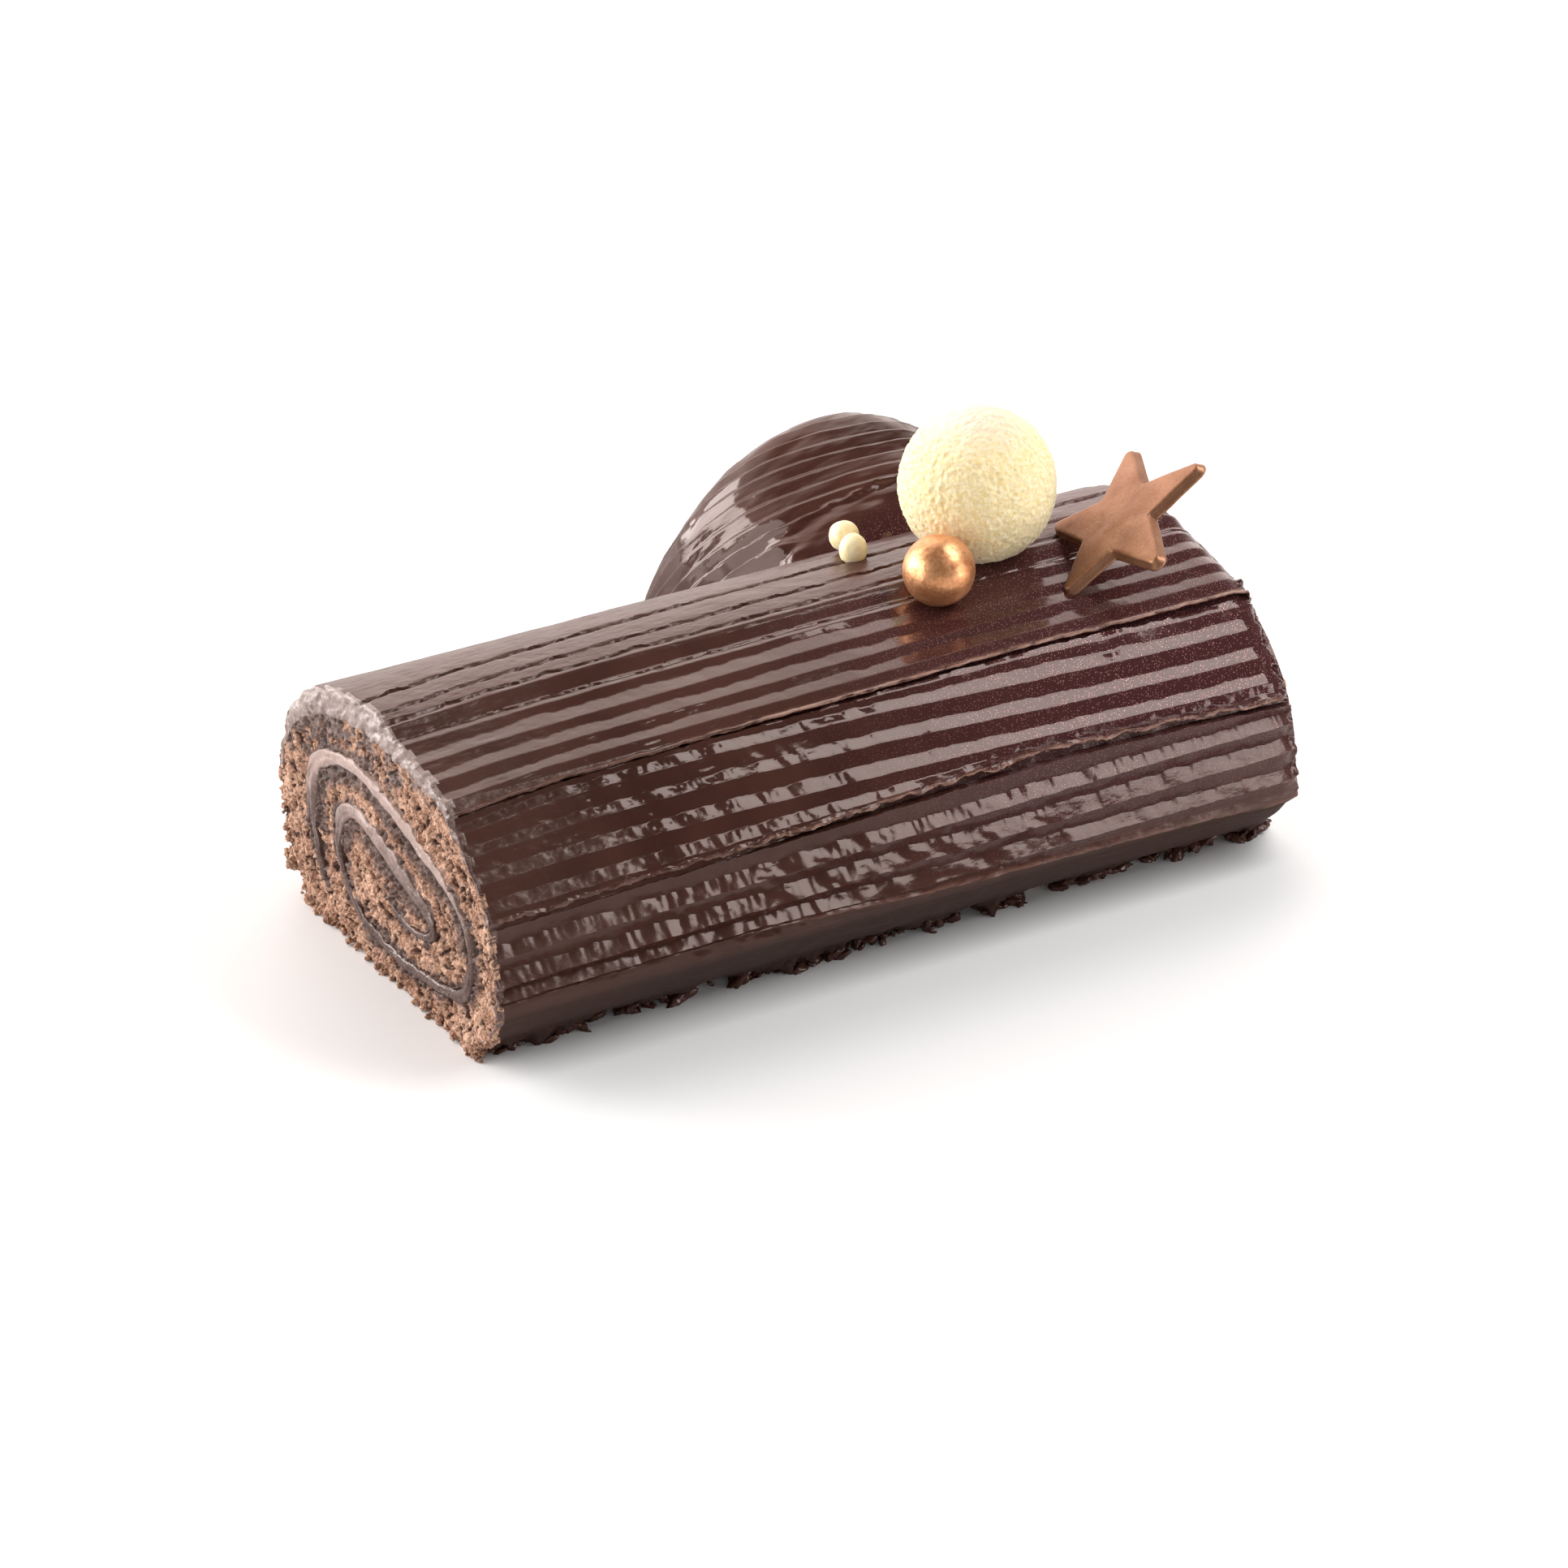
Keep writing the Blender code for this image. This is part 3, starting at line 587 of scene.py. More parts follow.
BACK = (
    (-0.8, 0.0, 4, (130.0, 131.0, 131.5, 132.0, 133.0, 133.5, 133.5)),
    (-0.4, 0.1, 8, (134.5, 135.5, 136.0, 136.5, 137.5, 138.0, 138.0)),
) + BACK_RIBS + ((-0.6, 0.3, 8, (203,) * 7), (-0.9, 0.0, 0, (GIRTH - FOOT_CLEAR,) * 7))
# Each ribbon: name, lines, its flat facet (first and last distance, bulge radius, flatness, edge height,
# lean), depth of the comb chatter, spacing along the log, and the free lips at its lower and upper edge
RIBBONS = (
    ("icing_skirt", SKIRT, (22, 46, 41, 0.95, 0.5, -0.05), 0.15, 0.5, (0.0, 0.0)),
    ("icing_front", FRONT, (46, 73, 46, 0.95, 0.55, 0.045), 0.105, 0.42, (2.0, 0.0)),
    ("icing_crown", CROWN, (73, 104, 75, 0.9, 1.15, -0.045), 0.03, 0.6, (2.2, 0.0)),
    ("icing_back", BACK, (135, 200, 70, 0.0, 0.0, 0.0), 0.05, 1.1, (0.0, 0.0)),
)
# Torn scraps at the foot: where along the log, how long and how far they stick out
FOOT_SCRAPS = ((-99.0, 6.0, 1.6), (-90.0, 4.0, 2.4), (-82.0, 4.0, 1.2), (-64.0, 4.5, 1.0), (-55.0, 4.0, 1.8),
               (-36.0, 6.0, 1.4), (-25.0, 6.0, 3.0), (-15.0, 3.0, 2.2), (-3.0, 6.0, 1.0), (12.0, 7.0, 1.4),
               (27.0, 2.2, 3.4), (33.0, 4.0, 1.5), (52.0, 9.0, 0.8), (80.0, 8.0, 0.7), (98.0, 5.0, 1.2))
RIM_ROUND = 7.0
LEDGE_LINE = 42


def glaze_finish():
    material, shader, place = start_finish("dark_chocolate_glaze")
    cloud = place.noise(0.045, 2.0)
    fine = place.noise(0.9, 3.0, 0.6, (0.25, 1, 1))
    foot, torn, satin = (place.node("Attribute", {"attribute_name": mark}, output=2)
                         for mark in ("foot", "torn", "satin"))
    base = cloud.ramp(0.35, 0.65).blend((0.041, 0.0140, 0.0098), (0.055, 0.0205, 0.0148))
    x, y, z = (place.node("SeparateXYZ", {}, {0: place}, output=k) for k in range(3))
    dusted = x.ramp(-35, 60) * z.ramp(8, 38) * (y * -1).ramp(-50, -40)
    speck = place.node("TexVoronoi", {"feature": "F1"}, {"Vector": place, "Scale": 2.1})
    lit = (0.25 - speck).ramp(0.0, 0.10) * dusted
    colour = dusted.blend(base, (0.049, 0.0150, 0.0152))
    colour = lit.blend(colour, (0.42, 0.20, 0.19))
    # Painted shade: along the foot band the glaze is painted near black, for the shadowed table it faces.
    colour = (foot * 0.8).blend(colour, (0.016, 0.0068, 0.0050))
    colour = (satin * 0.35).blend(colour, (0.085, 0.042, 0.031))
    # Painted highlight: a light copper tone along the ribbons' thin lips, for the light they catch.
    colour = (torn * 0.9 * fine.ramp(0.35, 0.55)).blend(colour, (0.36, 0.205, 0.155))
    soft = place.noise(0.28, 3.0, 0.6, (0.5, 1, 1))
    set_finish(shader, Base_Color=colour, Metallic=lit * 0.5,
               Roughness=0.055 + fine * 0.06 + lit * 0.25 + foot * 0.6 + satin * (0.16 + soft * 0.12) + torn * 0.2,
               Specular_Tint=(1.0, 0.82, 0.76), Specular_IOR_Level=0.36,
               Normal=place.bump(place.noise(1.4, 3.0, 0.55, (0.6, 1, 1)) * 0.012 + soft * satin * 0.35))
    return material


def ribbon_surface(lines, facet, chatter, x, seed):
    """Distances round the roll and heights of a ribbon's surface: one row to each x, one column to a step."""
    first, last, bulge, flatness, edge, lean = facet
    columns, heights, kinds = [], [], []
    at, tall = [], []
    for number, (height, wobble, _, places) in enumerate(lines):
        way = np.interp(x, STATIONS, places)
        way = way + wobble * (rough(seed + number, x / 4.2, layers=4, fade=0.6))
        way = way + 0.05 * rough(seed + 300 + number, x / 1.3, layers=2) * (wobble > 0)
        if wobble >= 0.2:
            way = way + wobble * 0.9 * np.abs(ripple(seed + 200 + number, x / 6.5))
        at.append(way)
        tall.append(height + 0.05 * rough(seed + 400 + number, x / 9.0))
    for number in range(1, len(at)):
        at[number] = np.maximum(at[number], at[number - 1] + 0.25)
    for number, (_, _, steps, _) in enumerate(lines[:-1]):
        for step in range(steps):
            part = step / steps
            columns.append(at[number] + (at[number + 1] - at[number]) * part)
            heights.append(tall[number] + (tall[number + 1] - tall[number]) * part)
            kinds.append(np.full(len(x), math.sin(part * math.pi)))
    columns.append(at[-1])
    heights.append(tall[-1])
    kinds.append(np.zeros(len(x)))
    s, h, face = (np.stack(group, 1) for group in (columns, heights, kinds))
    across = x[:, None] + 0 * s
    part = np.clip((s - first) * (last - s), 0, None) / (2 * bulge)
    h = h - flatness * part + edge * (flatness > 0) + lean * (np.clip(s, first, last) - (first + last) / 2)
    if chatter > 0.12:
        pressed = soft_step(-across, 5, 50)
        h = np.maximum(h, np.where(s > at[-4][:, None], -0.5 - 3 * (1 - pressed), -9))
    drag = across + 0.35 * s
    long, tall = (4.6, 2.3) if chatter > 0.12 else (5.0, 6.0)
    shake = rough(seed + 600, drag / long, (s + 0.12 * across) / tall, layers=2, fade=0.35)
    shake = shake * (0.65 + 0.35 * ripple(seed + 602, across / 21, s / 9)) * soft_step(across, -104, -88)
    shake = shake * (1 + 0.8 * np.exp(-(((across + 12) / 38) ** 2)))
    shake = shake * (1 - (0.7 if chatter < 0.12 else 0.25) * soft_step(across, 8, 38))
    h = h + chatter * shake + 0.010 * face * rough(seed + 610, across / 1.3, s / 0.9)
    pits = soft_step(ripple(seed + 620, across / 2.6, s / 1.3), 0.45, 0.8)
    h = h - 0.07 * pits * face * soft_step(-across, -60, 95)
    h = h + 0.14 * rough(seed + 630, across / 55, s / 25, layers=2)
    return s, h


def build_ribbon(name, lines, facet, chatter, spacing, lips, finish, seed):
    x = np.linspace(-LOG_END, LOG_END, int(2 * LOG_END / spacing))
    past = np.clip((x - (LOG_END - RIM_ROUND)) / RIM_ROUND, 0, 1)
    s, h = ribbon_surface(lines, facet, chatter, x, seed)
    foot = soft_step(-np.minimum(s, GIRTH - s), -12, -1)
    h = h + foot * (0.55 * rough(seed + 700, x[:, None] / 5, s / 5) - 0.3)
    torn = sum(out * np.exp(-(((x - at) / long) ** 2)) for at, long, out in FOOT_SCRAPS)
    ragged = 0.75 + 0.6 * rough(seed + 710, x[:, None] / 1.9, s / 1.3)
    low = soft_step(-s, -9.5, -5.0) * soft_step(s, 0.6, 3.5) + 0.35 * soft_step(-s, -4, -1)
    h = h + low * torn[:, None] * ragged + 0.25 * low * rough(seed + 720, x[:, None] / 1.2, s / 1.2)
    h = h - (RIM_ROUND * 0.62 * (1 - np.sqrt(1 - past**2)))[:, None]
    end_lip = np.exp(-(((x - LOG_END + 0.9) / 1.0) ** 2))[:, None] * soft_step(s, 14, 22) * soft_step(-s, -84, -76)
    h = h + end_lip * (0.6 + 1.1 * rough(seed + 730, s / 1.7))
    h = np.maximum(h, -coat_at(s) * 0.7)
    depth = coat_at(s) - 0.1
    inner_s, inner_h = [], []
    low_lip, high_lip = lips
    if high_lip:
        inner_s += [s[:, -1] - 0.1, s[:, -1] - high_lip, s[:, -1] - high_lip - 0.6]
        inner_h += [h[:, -1] - 0.55, h[:, -1] - 0.95, -depth[:, -1]]
    start, stop = (s[:, -1] - (high_lip + 1.2 if high_lip else 0)), (s[:, 0] + (low_lip + 1.2 if low_lip else 0))
    for part in np.linspace(0, 1, 14):
        way = start + (stop - start) * part
        inner_s.append(way)
        inner_h.append(0.1 - coat_at(way))
    if low_lip:
        inner_s += [s[:, 0] + low_lip + 0.6, s[:, 0] + low_lip, s[:, 0] + 0.1]
        inner_h += [-depth[:, 0], h[:, 0] - 0.95, h[:, 0] - 0.55]
    s_all = np.concatenate([s, np.stack(inner_s, 1)], 1)
    h_all = np.concatenate([h, np.stack(inner_h, 1)], 1)
    place = on_roll(np.clip(s_all, 0, GIRTH), h_all)
    place[..., 1] = np.maximum(place[..., 1], 0.05)
    points = np.concatenate([np.broadcast_to(x[:, None, None], place.shape[:2] + (1,)), place], 2)
    rows, ring = s_all.shape
    index = np.arange(rows * ring).reshape(rows, ring)
    turned = np.roll(index, -1, axis=1)
    quads = np.stack([index[:-1], turned[:-1], turned[1:], index[1:]], -1).reshape(-1, 4)
    caps = [index[0][::-1], index[-1]]
    edge = s[:, :1] if low_lip else s[:, LEDGE_LINE:LEDGE_LINE + 1]
    # The torn mark paints a highlight along the ribbons' lips and the skirt's ledge.
    torn = np.exp(-(((s_all - edge) / 0.7) ** 2)) * (1.0 if low_lip else 0.3 if name == "icing_skirt" else 0.0)
    across = x[:, None] + 0 * s_all
    even = {"icing_skirt": 0.22 + 0.4 * soft_step(across, 30, 75), "icing_crown": 0.15}.get(name, 0.0)
    satin = np.maximum(soft_step(s_all, 102.5, 106), even + (1 - even) * 0.5 * soft_step(-across, 58, 92))
    torn = torn * (0.25 + 0.75 * soft_step(across, -55, -15))
    # The foot mark carries painted shade along the glaze's foot band; its added roughness is the matte, smoothed
    # icing.
    marks = {"torn": torn.ravel(), "satin": satin.ravel(),
             "foot": soft_step(-s_all, -24, -20).ravel()}
    return make_piece(name, points.reshape(-1, 3), [quads, *caps], finish, "chocolate_icing",
                      crease=50, marks=marks)


glaze = glaze_finish()
for number, (name, lines, facet, chatter, spacing, lips) in enumerate(RIBBONS):
    build_ribbon(name, lines, facet, chatter, spacing, lips, glaze, 1000 + 1000 * number)

# ---- Cut edge of the icing -----------------------------------------------------------------------
# The knife drags the soft icing across the cut, so at both ends its edge is a lumpy, mottled smear, painted
# lighter towards the top as a highlight. It is broad over the top, thins towards the foot and stops where the crumb
# comes out at the back.


def smear_finish():
    material, shader, place = start_finish("smeared_icing")
    lump = place.noise(0.50, 4.0, 0.7)
    y, z = (place.node("SeparateXYZ", {}, {0: place}, output=k) for k in (1, 2))
    # Lighter towards the top and back: a painted highlight from the light on the left; the lumpy mottle is the smear's
    # own tone.
    smear_tone_and_highlight = (lump * 1.9 + (z + y * 0.35).ramp(30, 62) * 0.75).ramp(0.95, 1.65)
    colour = smear_tone_and_highlight.blend((0.085, 0.034, 0.023), (0.22, 0.158, 0.138))
    set_finish(shader, Base_Color=colour, Roughness=0.16 + lump * 0.2, Specular_IOR_Level=0.7,
               Normal=place.bump(place.noise(0.9, 4.0, 0.65) * 0.30))
    return material


def edge_height(around, end):
    """Height of the iced surface at one end of the log."""
    x = np.array([end])
    found = []
    for number, (_, lines, facet, chatter, _, _) in enumerate(RIBBONS):
        s, h = ribbon_surface(lines, facet, chatter, x, 1000 + 1000 * number)
        found.append(np.interp(around, s[0], h[0], left=-9, right=-9))
    return np.max(found, axis=0)


def build_smear(name, end, step, columns, seed, finish):
    side = np.sign(end)
    around = np.arange(9.0, 176.0, step)
    top = edge_height(around, end) - (RIM_ROUND * 0.62 if side > 0 else 0.0)
    top = top + 0.16 * rough(seed, around / 2.6, layers=3)
    low = -np.interp(around, CUT_AROUND, CUT_ICING) - 0.8 + 0.5 * rough(seed + 1, around / 2.4, layers=3)
    low = np.minimum(low, top - 0.25)
    part = np.linspace(0, 1, columns)[:, None]
    height = top * (1 - part) + low * part
    wide = (top - low) * np.ones_like(part)
    bulge = 0.35 * np.sqrt(np.sin(np.pi * np.clip(part, 0.02, 0.98)))
    lean = around + 0.8 * height
    lumps = 0.42 * rough(seed + 2, lean / 2.2, height / 2.6) + 0.35 * rough(seed + 3, around / 6, height / 3)
    out = 0.80 + np.minimum(wide / 2.4, 1) * (bulge + lumps) + 0.10 * ripple(seed + 4, around / 0.9, height / 1.1)
    out = out * np.where((part == 0) | (part == 1), 0.3, 1.0)
    front = np.concatenate([(end + side * out)[..., None], on_roll(around + 0 * height, height)], 2)
    back = front.copy()
    back[..., 0] = end - side * 0.8
    points = np.concatenate([front, back[::-1]])
    points[..., 2] = np.maximum(points[..., 2], 0.1)
    rows, long = points.shape[:2]
    index = np.arange(rows * long).reshape(rows, long)
    turned = np.roll(index, -1, axis=0)
    quads = np.stack([index[:, :-1], turned[:, :-1], turned[:, 1:], index[:, 1:]], -1).reshape(-1, 4)
    return make_piece(name, points.reshape(-1, 3), [quads, index[:, 0], index[::-1, -1]], finish, "chocolate_icing",
                      crease=70)


smear = smear_finish()
build_smear("cut_smear", -LOG_END, 0.33, 17, 5000, smear)
build_smear("far_smear", LOG_END, 0.6, 9, 5100, smear)

# ---- Loose crumbs and scraps ---------------------------------------------------------------------
# The knife leaves crumbs round the rim of the cut and at its foot, and lifting the cake onto the plate
# leaves torn scraps of icing along its foot.
CRUMB_HEAPS = (  # around the roll, spread, how far out, count, size
    (205.0, 5.0, 1.0, 22, 0.9), (196.5, 2.2, 4.2, 34, 1.1), (190.0, 5.0, 0.9, 18, 0.8), (181.0, 6.0, 1.2, 22, 0.7),
    (171.0, 6.0, 0.7, 18, 0.6), (2.5, 2.5, 1.6, 30, 0.9), (8.0, 5.0, 0.5, 16, 0.6), (212.0, 3.0, 1.5, 14, 0.9))


def ball_mesh(level):
    """Points and triangles of an even ball of radius one."""
    work = bmesh.new()
    bmesh.ops.create_icosphere(work, subdivisions=level, radius=1.0)
    points = np.array([tuple(v.co) for v in work.verts])
    faces = np.array([[v.index for v in face.verts] for face in work.faces])
    work.free()
    return points, faces


def build_lumps(name, places, sizes, finish, seed, stretch=1.0, jagged=0.55, marks=None):
    """Torn lumps, each turned its own way, with sizes in millimetres."""
    unit, faces = ball_mesh(3)
    points, groups = [], []
    for number, (place, size) in enumerate(zip(places, sizes)):
        spin = [2 * math.pi * float(chance(seed, number, axis)) for axis in range(3)]
        turn = np.array(Matrix.Rotation(spin[0], 3, "X") @ Matrix.Rotation(spin[1] * 0.2, 3, "Y")
                        @ Matrix.Rotation(spin[2] * (1 if stretch == 1 else 0.12), 3, "Z"))
        shape = unit * (1 + jagged * rough(seed + number, *(unit.T * 1.7 + 9), fade=0.6))[:, None]
        shape = shape * np.array([stretch, 1.0, 0.75]) * size
        points.append(shape @ turn.T + np.array(place))
        groups.append(faces + number * len(unit))
    points = np.vstack(points)
    points[:, 2] = np.maximum(points[:, 2], 0.03)
    marks = {mark: np.full(len(points), value) for mark, value in (marks or {}).items()}
    return make_piece(name, points, [np.vstack(groups)], finish, marks=marks)


def build_crumbs():
    places, sizes = [], []
    for heap, (around, spread, out, count, size) in enumerate(CRUMB_HEAPS):
        for number in range(count):
            draw = [float(chance(6000 + heap, number, k)) for k in range(4)]
            way = min(max(around + spread * (draw[0] + draw[1] - 1), 0.5), GIRTH - 0.5)
            y, z = on_roll(np.array(way), out * draw[2] - 0.6)
            places.append((-LOG_END - 0.9 + 2.6 * draw[3], y, max(z, 0.35)))
            sizes.append(size * (0.5 + 0.9 * draw[1]))
    for number in range(46):
        draw = [float(chance(6100, number, k)) for k in range(4)]
        places.append((-LOG_END - 0.6 - 1.3 * draw[0] ** 2, -44 + 92 * draw[1], 0.3 + 0.7 * draw[2]))
        sizes.append(0.35 + 0.5 * draw[3])
    build_lumps("sponge_crumbs", places, sizes, bpy.data.materials["cocoa_sponge_crumb"], 6200)


def build_scraps(finish):
    places, sizes = [], []
    for heap, (at, long, out) in enumerate(FOOT_SCRAPS):
        for number in range(int(4 + 1.1 * long)):
            draw = [float(chance(6300 + heap, number, k)) for k in range(5)]
            way = 0.8 + 4.0 * draw[1]
            y, z = on_roll(np.array(way), -0.6 + out * 1.2 * draw[2])
            places.append((at + 1.1 * long * (draw[0] + draw[3] - 1), y, max(z - 0.8 * draw[2] * out, 0.25)))
            sizes.append(0.6 + 1.2 * draw[4] ** 2)
    for number in range(60):
        draw = [float(chance(6390, number, k)) for k in range(4)]
        at = -102 + 200 * draw[0]
        y, z = on_roll(np.array(0.6 + 2.6 * draw[1]), 0.3 + 1.2 * draw[2] * (0.6 + float(ripple(6395, at / 9.0))))
        places.append((at, y, max(z, 0.25)))
        sizes.append(0.5 + 0.9 * draw[3])
    build_lumps("icing_scraps", places, sizes, finish, 6400, stretch=2.1, jagged=0.33,
                marks={"satin": 0.35})


build_crumbs()
build_scraps(glaze)

# ---- Branch stump --------------------------------------------------------------------------------
# A short side branch of the same cake, iced with the same comb. It leans against the back of the log,
# and its ribs bend round it from side to side.
STUMP_CENTRE, STUMP_TURN = (62.8, 68.8), -5.5
STUMP_LEFT, STUMP_RIGHT, STUMP_DEPTH, STUMP_HEIGHT, STUMP_SUNK = 58.2, 43.0, 47.4, 65.0, 6.6
STUMP_POWERS = (2.13, 4.13, 1.71)
STUMP_PITCH, STUMP_RIB, STUMP_LIT, STUMP_BEND = 6.0, 1.45, 0.36, 0.0127
STUMP_SPACING = 0.33


def stump_height(u, v):
    n, m, k = STUMP_POWERS
    width = np.where(u < 0, STUMP_LEFT, STUMP_RIGHT)
    left = 1 - np.abs(u / width) ** n - np.abs(v / STUMP_DEPTH) ** m
    tall = STUMP_HEIGHT + STUMP_SUNK
    return np.maximum(0.0, tall * np.maximum(left, 0.0) ** (1 / k) - STUMP_SUNK)


def stump_reach(start, bend, width):
    """Sideways distance at which each rib meets the plate."""
    n, m, k = STUMP_POWERS
    limit = 1 - (STUMP_SUNK / (STUMP_HEIGHT + STUMP_SUNK)) ** k
    low, high = np.zeros_like(start), np.full_like(start, width)
    for _ in range(40):
        middle = (low + high) / 2
        within = (middle / width) ** n + np.abs((start + bend * middle**2) / STUMP_DEPTH) ** m < limit
        low, high = np.where(within, middle, low), np.where(within, high, middle)
    return low


def build_stump(finish):
    start = np.arange(-0.985 * STUMP_DEPTH, 0.985 * STUMP_DEPTH, STUMP_SPACING)
    bend = STUMP_BEND * soft_step(start, -STUMP_DEPTH, -STUMP_DEPTH * 0.6)
    reach = {side: stump_reach(start, bend, width) for side, width in ((-1, STUMP_LEFT), (1, STUMP_RIGHT))}
    turn = np.linspace(-math.pi / 2, math.pi / 2, 150)
    u = np.sin(turn)[None, :] * np.where(turn < 0, reach[-1][:, None], reach[1][:, None])
    v = start[:, None] + bend[:, None] * u**2
    z = stump_height(u, v)
    z[:, [0, -1]] = 0
    place = np.stack([u, v, z], 2)
    normal = np.cross(np.gradient(place, axis=1), np.gradient(place, axis=0))
    normal /= np.linalg.norm(normal, axis=2, keepdims=True) + 1e-12
    along = np.cumsum(np.linalg.norm(np.gradient(place, axis=1), axis=2), axis=1)
    warp = 0.30 * rough(800, along / 9, start[:, None] / 7) * np.ones_like(u)
    part = ((start[:, None] + warp - 13.0) / STUMP_PITCH) % 1.0
    saw = np.where(part < STUMP_LIT, part / STUMP_LIT, (1 - part) / (1 - STUMP_LIT))
    rib = STUMP_RIB * (0.5 - saw)
    rib *= soft_step(STUMP_DEPTH * 0.95 - np.abs(start[:, None]), 0, 5) * (0.85 + 0.3 * rough(801, along / 20, v / 9))
    angle = math.radians(STUMP_TURN)
    cos, sin = math.cos(angle), math.sin(angle)
    world_x, world_y = STUMP_CENTRE[0] + u * cos - v * sin, STUMP_CENTRE[1] + u * sin + v * cos
    rib *= 1 + 0.5 * soft_step(-world_x, -38, -18)
    patch = soft_step(57.5 - 0.25 * (world_x - 40) - world_y + 1.8 * rough(806, u / 7, v / 5), 0, 3.2)
    patch = patch * soft_step(world_x, 25, 33)
    ridge = 3.6 * patch * (1 - patch) * (0.8 + 0.8 * rough(808, u / 3, v / 3))
    rib = rib * (1 - patch) + ridge - 0.5 * patch + 0.30 * patch * rough(807, u / 6, v / 4)
    rib += 0.07 * rough(802, along / 5, v / 12) + 0.03 * rough(803, along / 1.9, v / 1.1)
    rib += 0.35 * rough(804, along / 30, v / 22)
    foot = 1 - soft_step(z, 0.5, 8)
    rib = rib * (1 - foot * 0.6) - 0.3 * foot
    place = place + normal * rib[..., None]
    place[..., 2] = np.maximum(place[..., 2], 0.05)
    place[:, [0, -1], 2] = 0.05
    spun = np.stack([STUMP_CENTRE[0] + place[..., 0] * cos - place[..., 1] * sin,
                     STUMP_CENTRE[1] + place[..., 0] * sin + place[..., 1] * cos, place[..., 2]], 2)
    spun = against_log(spun)
    rows, wide = u.shape
    index = np.arange(rows * wide).reshape(rows, wide)
    quads = np.stack([index[:-1, :-1], index[:-1, 1:], index[1:, 1:], index[1:, :-1]], -1).reshape(-1, 4)
    under = np.concatenate([index[:, 0], index[::-1, -1]])
    satin = 0.1 * (1 - patch) * soft_step(world_x, 25, 45)
    return make_piece("iced_stump", spun.reshape(-1, 3), [quads, under, index[0], index[-1]], finish,
                      "branch_stump", crease=60, marks={"satin": satin.ravel()})


def against_log(points):
    """Moves what would lie inside the log out to just under the surface of its icing."""
    hub = 16.0
    ring = on_roll(np.linspace(GIRTH / 2, GIRTH, 400), -0.8)
    ring_angle = np.arctan2(ring[:, 1], ring[:, 0] - hub)
    order = np.argsort(ring_angle)
    ring_reach = np.hypot(ring[:, 1], ring[:, 0] - hub)[order]
    angle = np.arctan2(points[..., 2], points[..., 1] - hub)
    reach = np.hypot(points[..., 2], points[..., 1] - hub)
    edge = np.interp(angle, ring_angle[order], ring_reach)
    reach = np.where((reach < edge) & (points[..., 1] > hub), edge, reach)
    return np.stack([points[..., 0], hub + reach * np.cos(angle), reach * np.sin(angle)], 2)


build_stump(glaze)

# ---- Snow ball -----------------------------------------------------------------------------------
# A hollow white chocolate ball sprayed with cocoa butter, which freezes into a fine velvet grain.
BALL_AT, BALL_RADIUS = (53.8, 10.1, 80.9), 18.4


def velvet_finish():
    material, shader, place = start_finish("velvet_spray")
    grain = place.noise(1.1, 3.0, 0.6)
    up = place.node("SeparateXYZ", {}, {0: place}, output=2)
    colour = grain.ramp(0.35, 0.65).blend((0.84, 0.66, 0.31), (0.95, 0.82, 0.55))
    blush = (up + (grain - 0.5) * 9).ramp(92, 101)
    colour = blush.blend(colour, (0.86, 0.68, 0.52))
    set_finish(shader, Base_Color=colour, Roughness=0.8, Sheen_Weight=0.35, Sheen_Roughness=0.4,
               Normal=place.bump(place.noise(2.0, 3.0, 0.7) * 0.22), Subsurface_Weight=0.25,
               Subsurface_Scale=0.002, Subsurface_Radius=(1.0, 0.7, 0.35))
    return material


def build_ball():
    unit, faces = ball_mesh(7)
    place = unit * BALL_RADIUS
    grain = rough(900, *(place.T / 1.0), layers=2, fade=0.6)
    fine = ripple(905, *(place.T / 0.55))
    grow = BALL_RADIUS + 0.21 * grain + 0.09 * fine + 0.12 * rough(910, *(place.T / 11))
    return make_piece("velvet_ball", unit * grow[:, None] + np.array(BALL_AT), [faces], velvet_finish(),
                      "snow_ball")


build_ball()

# ---- Gold pearl and cream pearls -----------------------------------------------------------------
# A large sugar pearl brushed with gold lustre, and two small cream pearls stuck to each other. They are
# pressed into the icing while it is soft.
GOLD_AT, GOLD_RADIUS = (33.5, -6.5, 70.9), 8.35
CREAM_PEARLS = (("cream_pearl_front", "small_pearl_front", (27.0, 21.0, 66.1), 3.3, 1.2),
                ("cream_pearl_back", "small_pearl_back", (28.7, 28.0, 66.3), 3.6, 1.0))


def lustre_finish():
    material, shader, place = start_finish("gold_lustre")
    fleck = place.noise(0.9, 4.0, 0.7)
    wash = place.noise(0.18, 2.0)
    colour = (fleck * 0.6 + wash * 0.4).ramp(0.35, 0.65).blend((0.54, 0.215, 0.085), (0.84, 0.43, 0.21))
    set_finish(shader, Base_Color=colour, Metallic=0.55 + fleck * 0.35, Roughness=0.27 + fleck * 0.12,
               Normal=place.bump(fleck * 0.10))
    return material


def sugar_finish():
    material, shader, place = start_finish("cream_sugar_shell")
    tone = place.noise(0.5, 3.0)
    colour = tone.ramp(0.35, 0.65).blend((0.88, 0.74, 0.40), (0.95, 0.84, 0.56))
    set_finish(shader, Base_Color=colour, Roughness=0.34 + tone * 0.14, Subsurface_Weight=0.1,
               Subsurface_Scale=0.002, Normal=place.bump(place.noise(1.5, 2.0) * 0.06))
    return material


